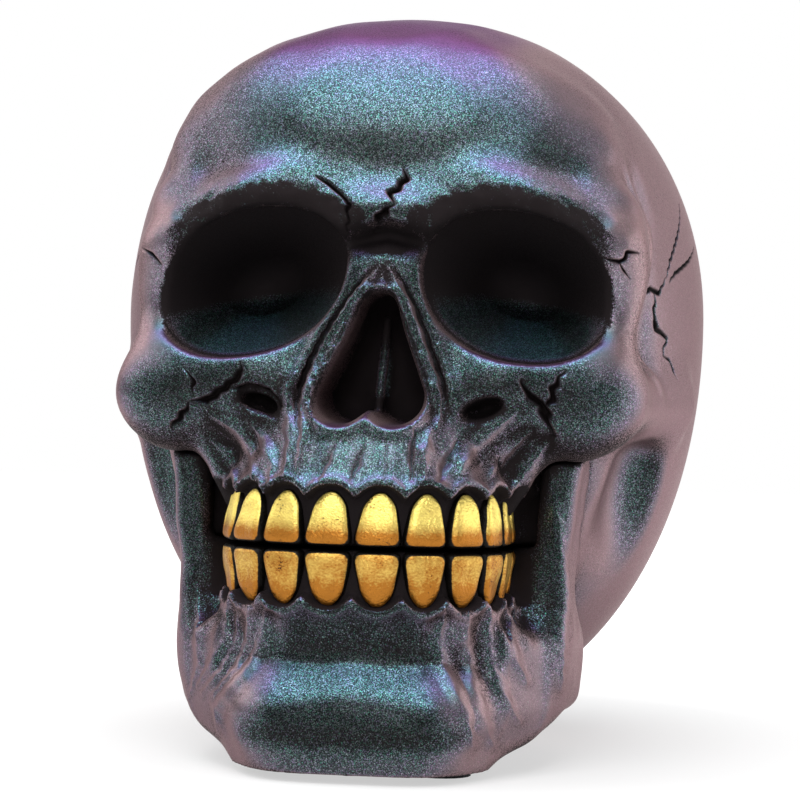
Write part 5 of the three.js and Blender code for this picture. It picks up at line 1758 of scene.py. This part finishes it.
# Pressed wool felt dyed black: a mat of short fibres with a faint bloom
PRESSED_FELT = Matting(
    "felt", "#161618", "#333238", 0.385, (0.85, 1.0), 0.5, 0.3, distortion=1.5, detail=5.0, sheen=0.4)


@dataclass(frozen=True)
class SoftBox:
    """A soft studio light, placed in metres and aimed at the skull."""

    name: str
    place: Size
    size: Span
    watts: float
    colour: str = "#ffffff"
    target: Size = (0.0, -0.01, 0.065)

    def build(self) -> None:
        """Puts the light in the scene."""
        light = bpy.data.lights.new(self.name, "AREA")
        light.shape = "RECTANGLE"
        light.size, light.size_y = self.size
        light.energy = self.watts
        light.color = linear(self.colour)[:3]
        lamp = bpy.data.objects.new(self.name, light)
        lamp.location = self.place
        lamp.rotation_euler = (Vector(self.target) - Vector(self.place)).to_track_quat("-Z", "Y").to_euler()
        bpy.context.scene.collection.objects.link(lamp)


@dataclass
class Studio:
    """A white table and backdrop, soft boxes and the photograph's camera."""

    floor_half: float = 1.5
    floor_drop: float = 0.0002
    floor_grey: str = "#a8a8a8"
    white: str = "#ffffff"
    dome_grey: str = "#424244"
    near_glow: float = 0.56
    shadow_reach: Span = (0.08, 0.22)
    backdrop_from: Span = (0.35, 0.85)
    boxes: tuple[SoftBox, ...] = (
        SoftBox("overhead", (-0.05, 0.05, 0.75), (0.8, 0.7), 6.2),
        SoftBox("front_top", (0.0, -0.45, 0.62), (0.5, 0.3), 2.1),
        SoftBox("front", (0.0, -0.65, 0.3), (0.3, 0.3), 1.2),
        SoftBox("right_panel", (0.6, 0.05, 0.22), (0.8, 0.5), 2.2),
        SoftBox("left_panel", (-0.55, 0.0, 0.36), (0.8, 0.4), 2.0),
    )
    camera_mm: Size = (59.06, -498.13, 59.18)
    yaw_deg: float = 7.0
    roll_deg: float = 1.5
    lens_mm: float = 127.6
    sensor_mm: float = 36.0
    clip_m: Span = (0.01, 20.0)

    def floor(self) -> None:
        """The table top: white to the eye and in reflections, with the skull's soft shadow."""
        s = self.floor_half
        mesh = bpy.data.meshes.new("table_top")
        mesh.from_pydata([(-s, -s, 0), (s, -s, 0), (s, s, 0), (-s, s, 0)], [], [(0, 1, 2, 3)])
        plane = bpy.data.objects.new("table_top", mesh)
        plane.location.z = -self.floor_drop
        bpy.context.scene.collection.objects.link(plane)
        g = Graph(bpy.data.materials.new("table_top"))
        # Whiter away from the skull, so that only its contact shadow stays grey
        place = g.add("TexCoord").outputs["Object"]
        away = g.add("VectorMath", {"operation": "LENGTH"}, i0=place).outputs["Value"]
        glow = g.span(away, self.shadow_reach, (self.near_glow, 1.0))
        shine = g.add("Emission", Color=linear(self.white), Strength=g.sum("MULTIPLY", glow, g.seen()))
        grey = g.add("BsdfDiffuse", Color=linear(self.floor_grey))
        mesh.materials.append(g.finish(g.add("AddShader", i0=grey.outputs[0], i1=shine.outputs[0])))

    def dome(self) -> None:
        """The backdrop: white to the eye and, behind the skull, in reflections; the room in front is dim."""
        g = Graph(bpy.data.worlds.new("backdrop"))
        axis = g.add("SeparateXYZ", Vector=g.add("TexCoord").outputs["Generated"])
        behind = g.span(axis.outputs["Y"], self.backdrop_from)
        dim, white = (g.add("Background", Color=linear(code)) for code in (self.dome_grey, self.white))
        both = g.add("MixShader", i0=g.seen(behind), i1=dim.outputs[0], i2=white.outputs[0])
        bpy.context.scene.world = g.finish(both, "OutputWorld")

    def camera(self) -> None:
        """The camera of the photograph: level with the cheeks, a little to the skull's left."""
        data = bpy.data.cameras.new("photo_camera")
        data.sensor_width = self.sensor_mm
        data.lens = self.lens_mm
        data.clip_start, data.clip_end = self.clip_m
        cam = bpy.data.objects.new("photo_camera", data)
        turn = Matrix.Rotation(math.radians(self.yaw_deg), 4, "Z") @ Matrix.Rotation(math.pi / 2, 4, "X")
        roll = Matrix.Rotation(math.radians(self.roll_deg), 4, "Z")
        cam.matrix_world = Matrix.Translation(Vector(self.camera_mm) * MM) @ turn @ roll
        bpy.context.scene.collection.objects.link(cam)
        bpy.context.scene.camera = cam

    def build(self) -> None:
        """Sets up table, backdrop, lights and camera."""
        self.floor()
        self.dome()
        for box in self.boxes:
            box.build()
        self.camera()
        bpy.context.scene.view_settings.view_transform = "Standard"


def hand_over(piece: bpy.types.Object, node: str, slot: Slot, material: bpy.types.Material) -> None:
    """Dresses a piece and lets it stand for its CAD node."""
    piece.data.materials.clear()
    piece.data.materials.append(material)
    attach(piece, "root")
    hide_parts(node)
    log.info("%s: %d faces", piece.name, len(piece.data.polygons))


def main() -> None:
    """Builds the skull in its studio."""
    logging.basicConfig(level=logging.INFO, format="%(message)s")
    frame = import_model()
    cranium = Cranium()
    jaw = Mandible()

    def whole(x: Array, y: Array, z: Array) -> Array:
        """Distance to the entire skull."""
        return np.minimum(cranium.form(x, y, z), jaw.bare(x, y, z))

    paint = ColourShiftPaint().material()
    hand_over(cranium.build("painted_cranium", whole, CRACKS + FACE_CORDS), "cranium", Slot.PAINT, paint)
    hand_over(jaw.build("painted_mandible", whole, JAW_CORDS), "mandible", Slot.PAINT, paint)
    gilt = GoldLeaf().material()
    for upper, side, order in itertools.product((True, False), (-1, 1), range(len(cranium.arch.pitches))):
        tooth = Tooth(cranium.arch, order, side, upper)
        hand_over(tooth.build(), tooth.name, Slot.GILDING, gilt)
    rubber, felt = MOULDED_RUBBER.material(), PRESSED_FELT.material()
    for name, node in frame["nodes"].items():
        if name == "base_plug" or name.startswith("pad_"):
            node.data.materials.clear()
            node.data.materials.append(rubber if name == "base_plug" else felt)
            log.info("%s: dressed as it is", name)
    Studio().build()
    bpy.context.view_layer.update()


if __name__ == "__main__":
    main()
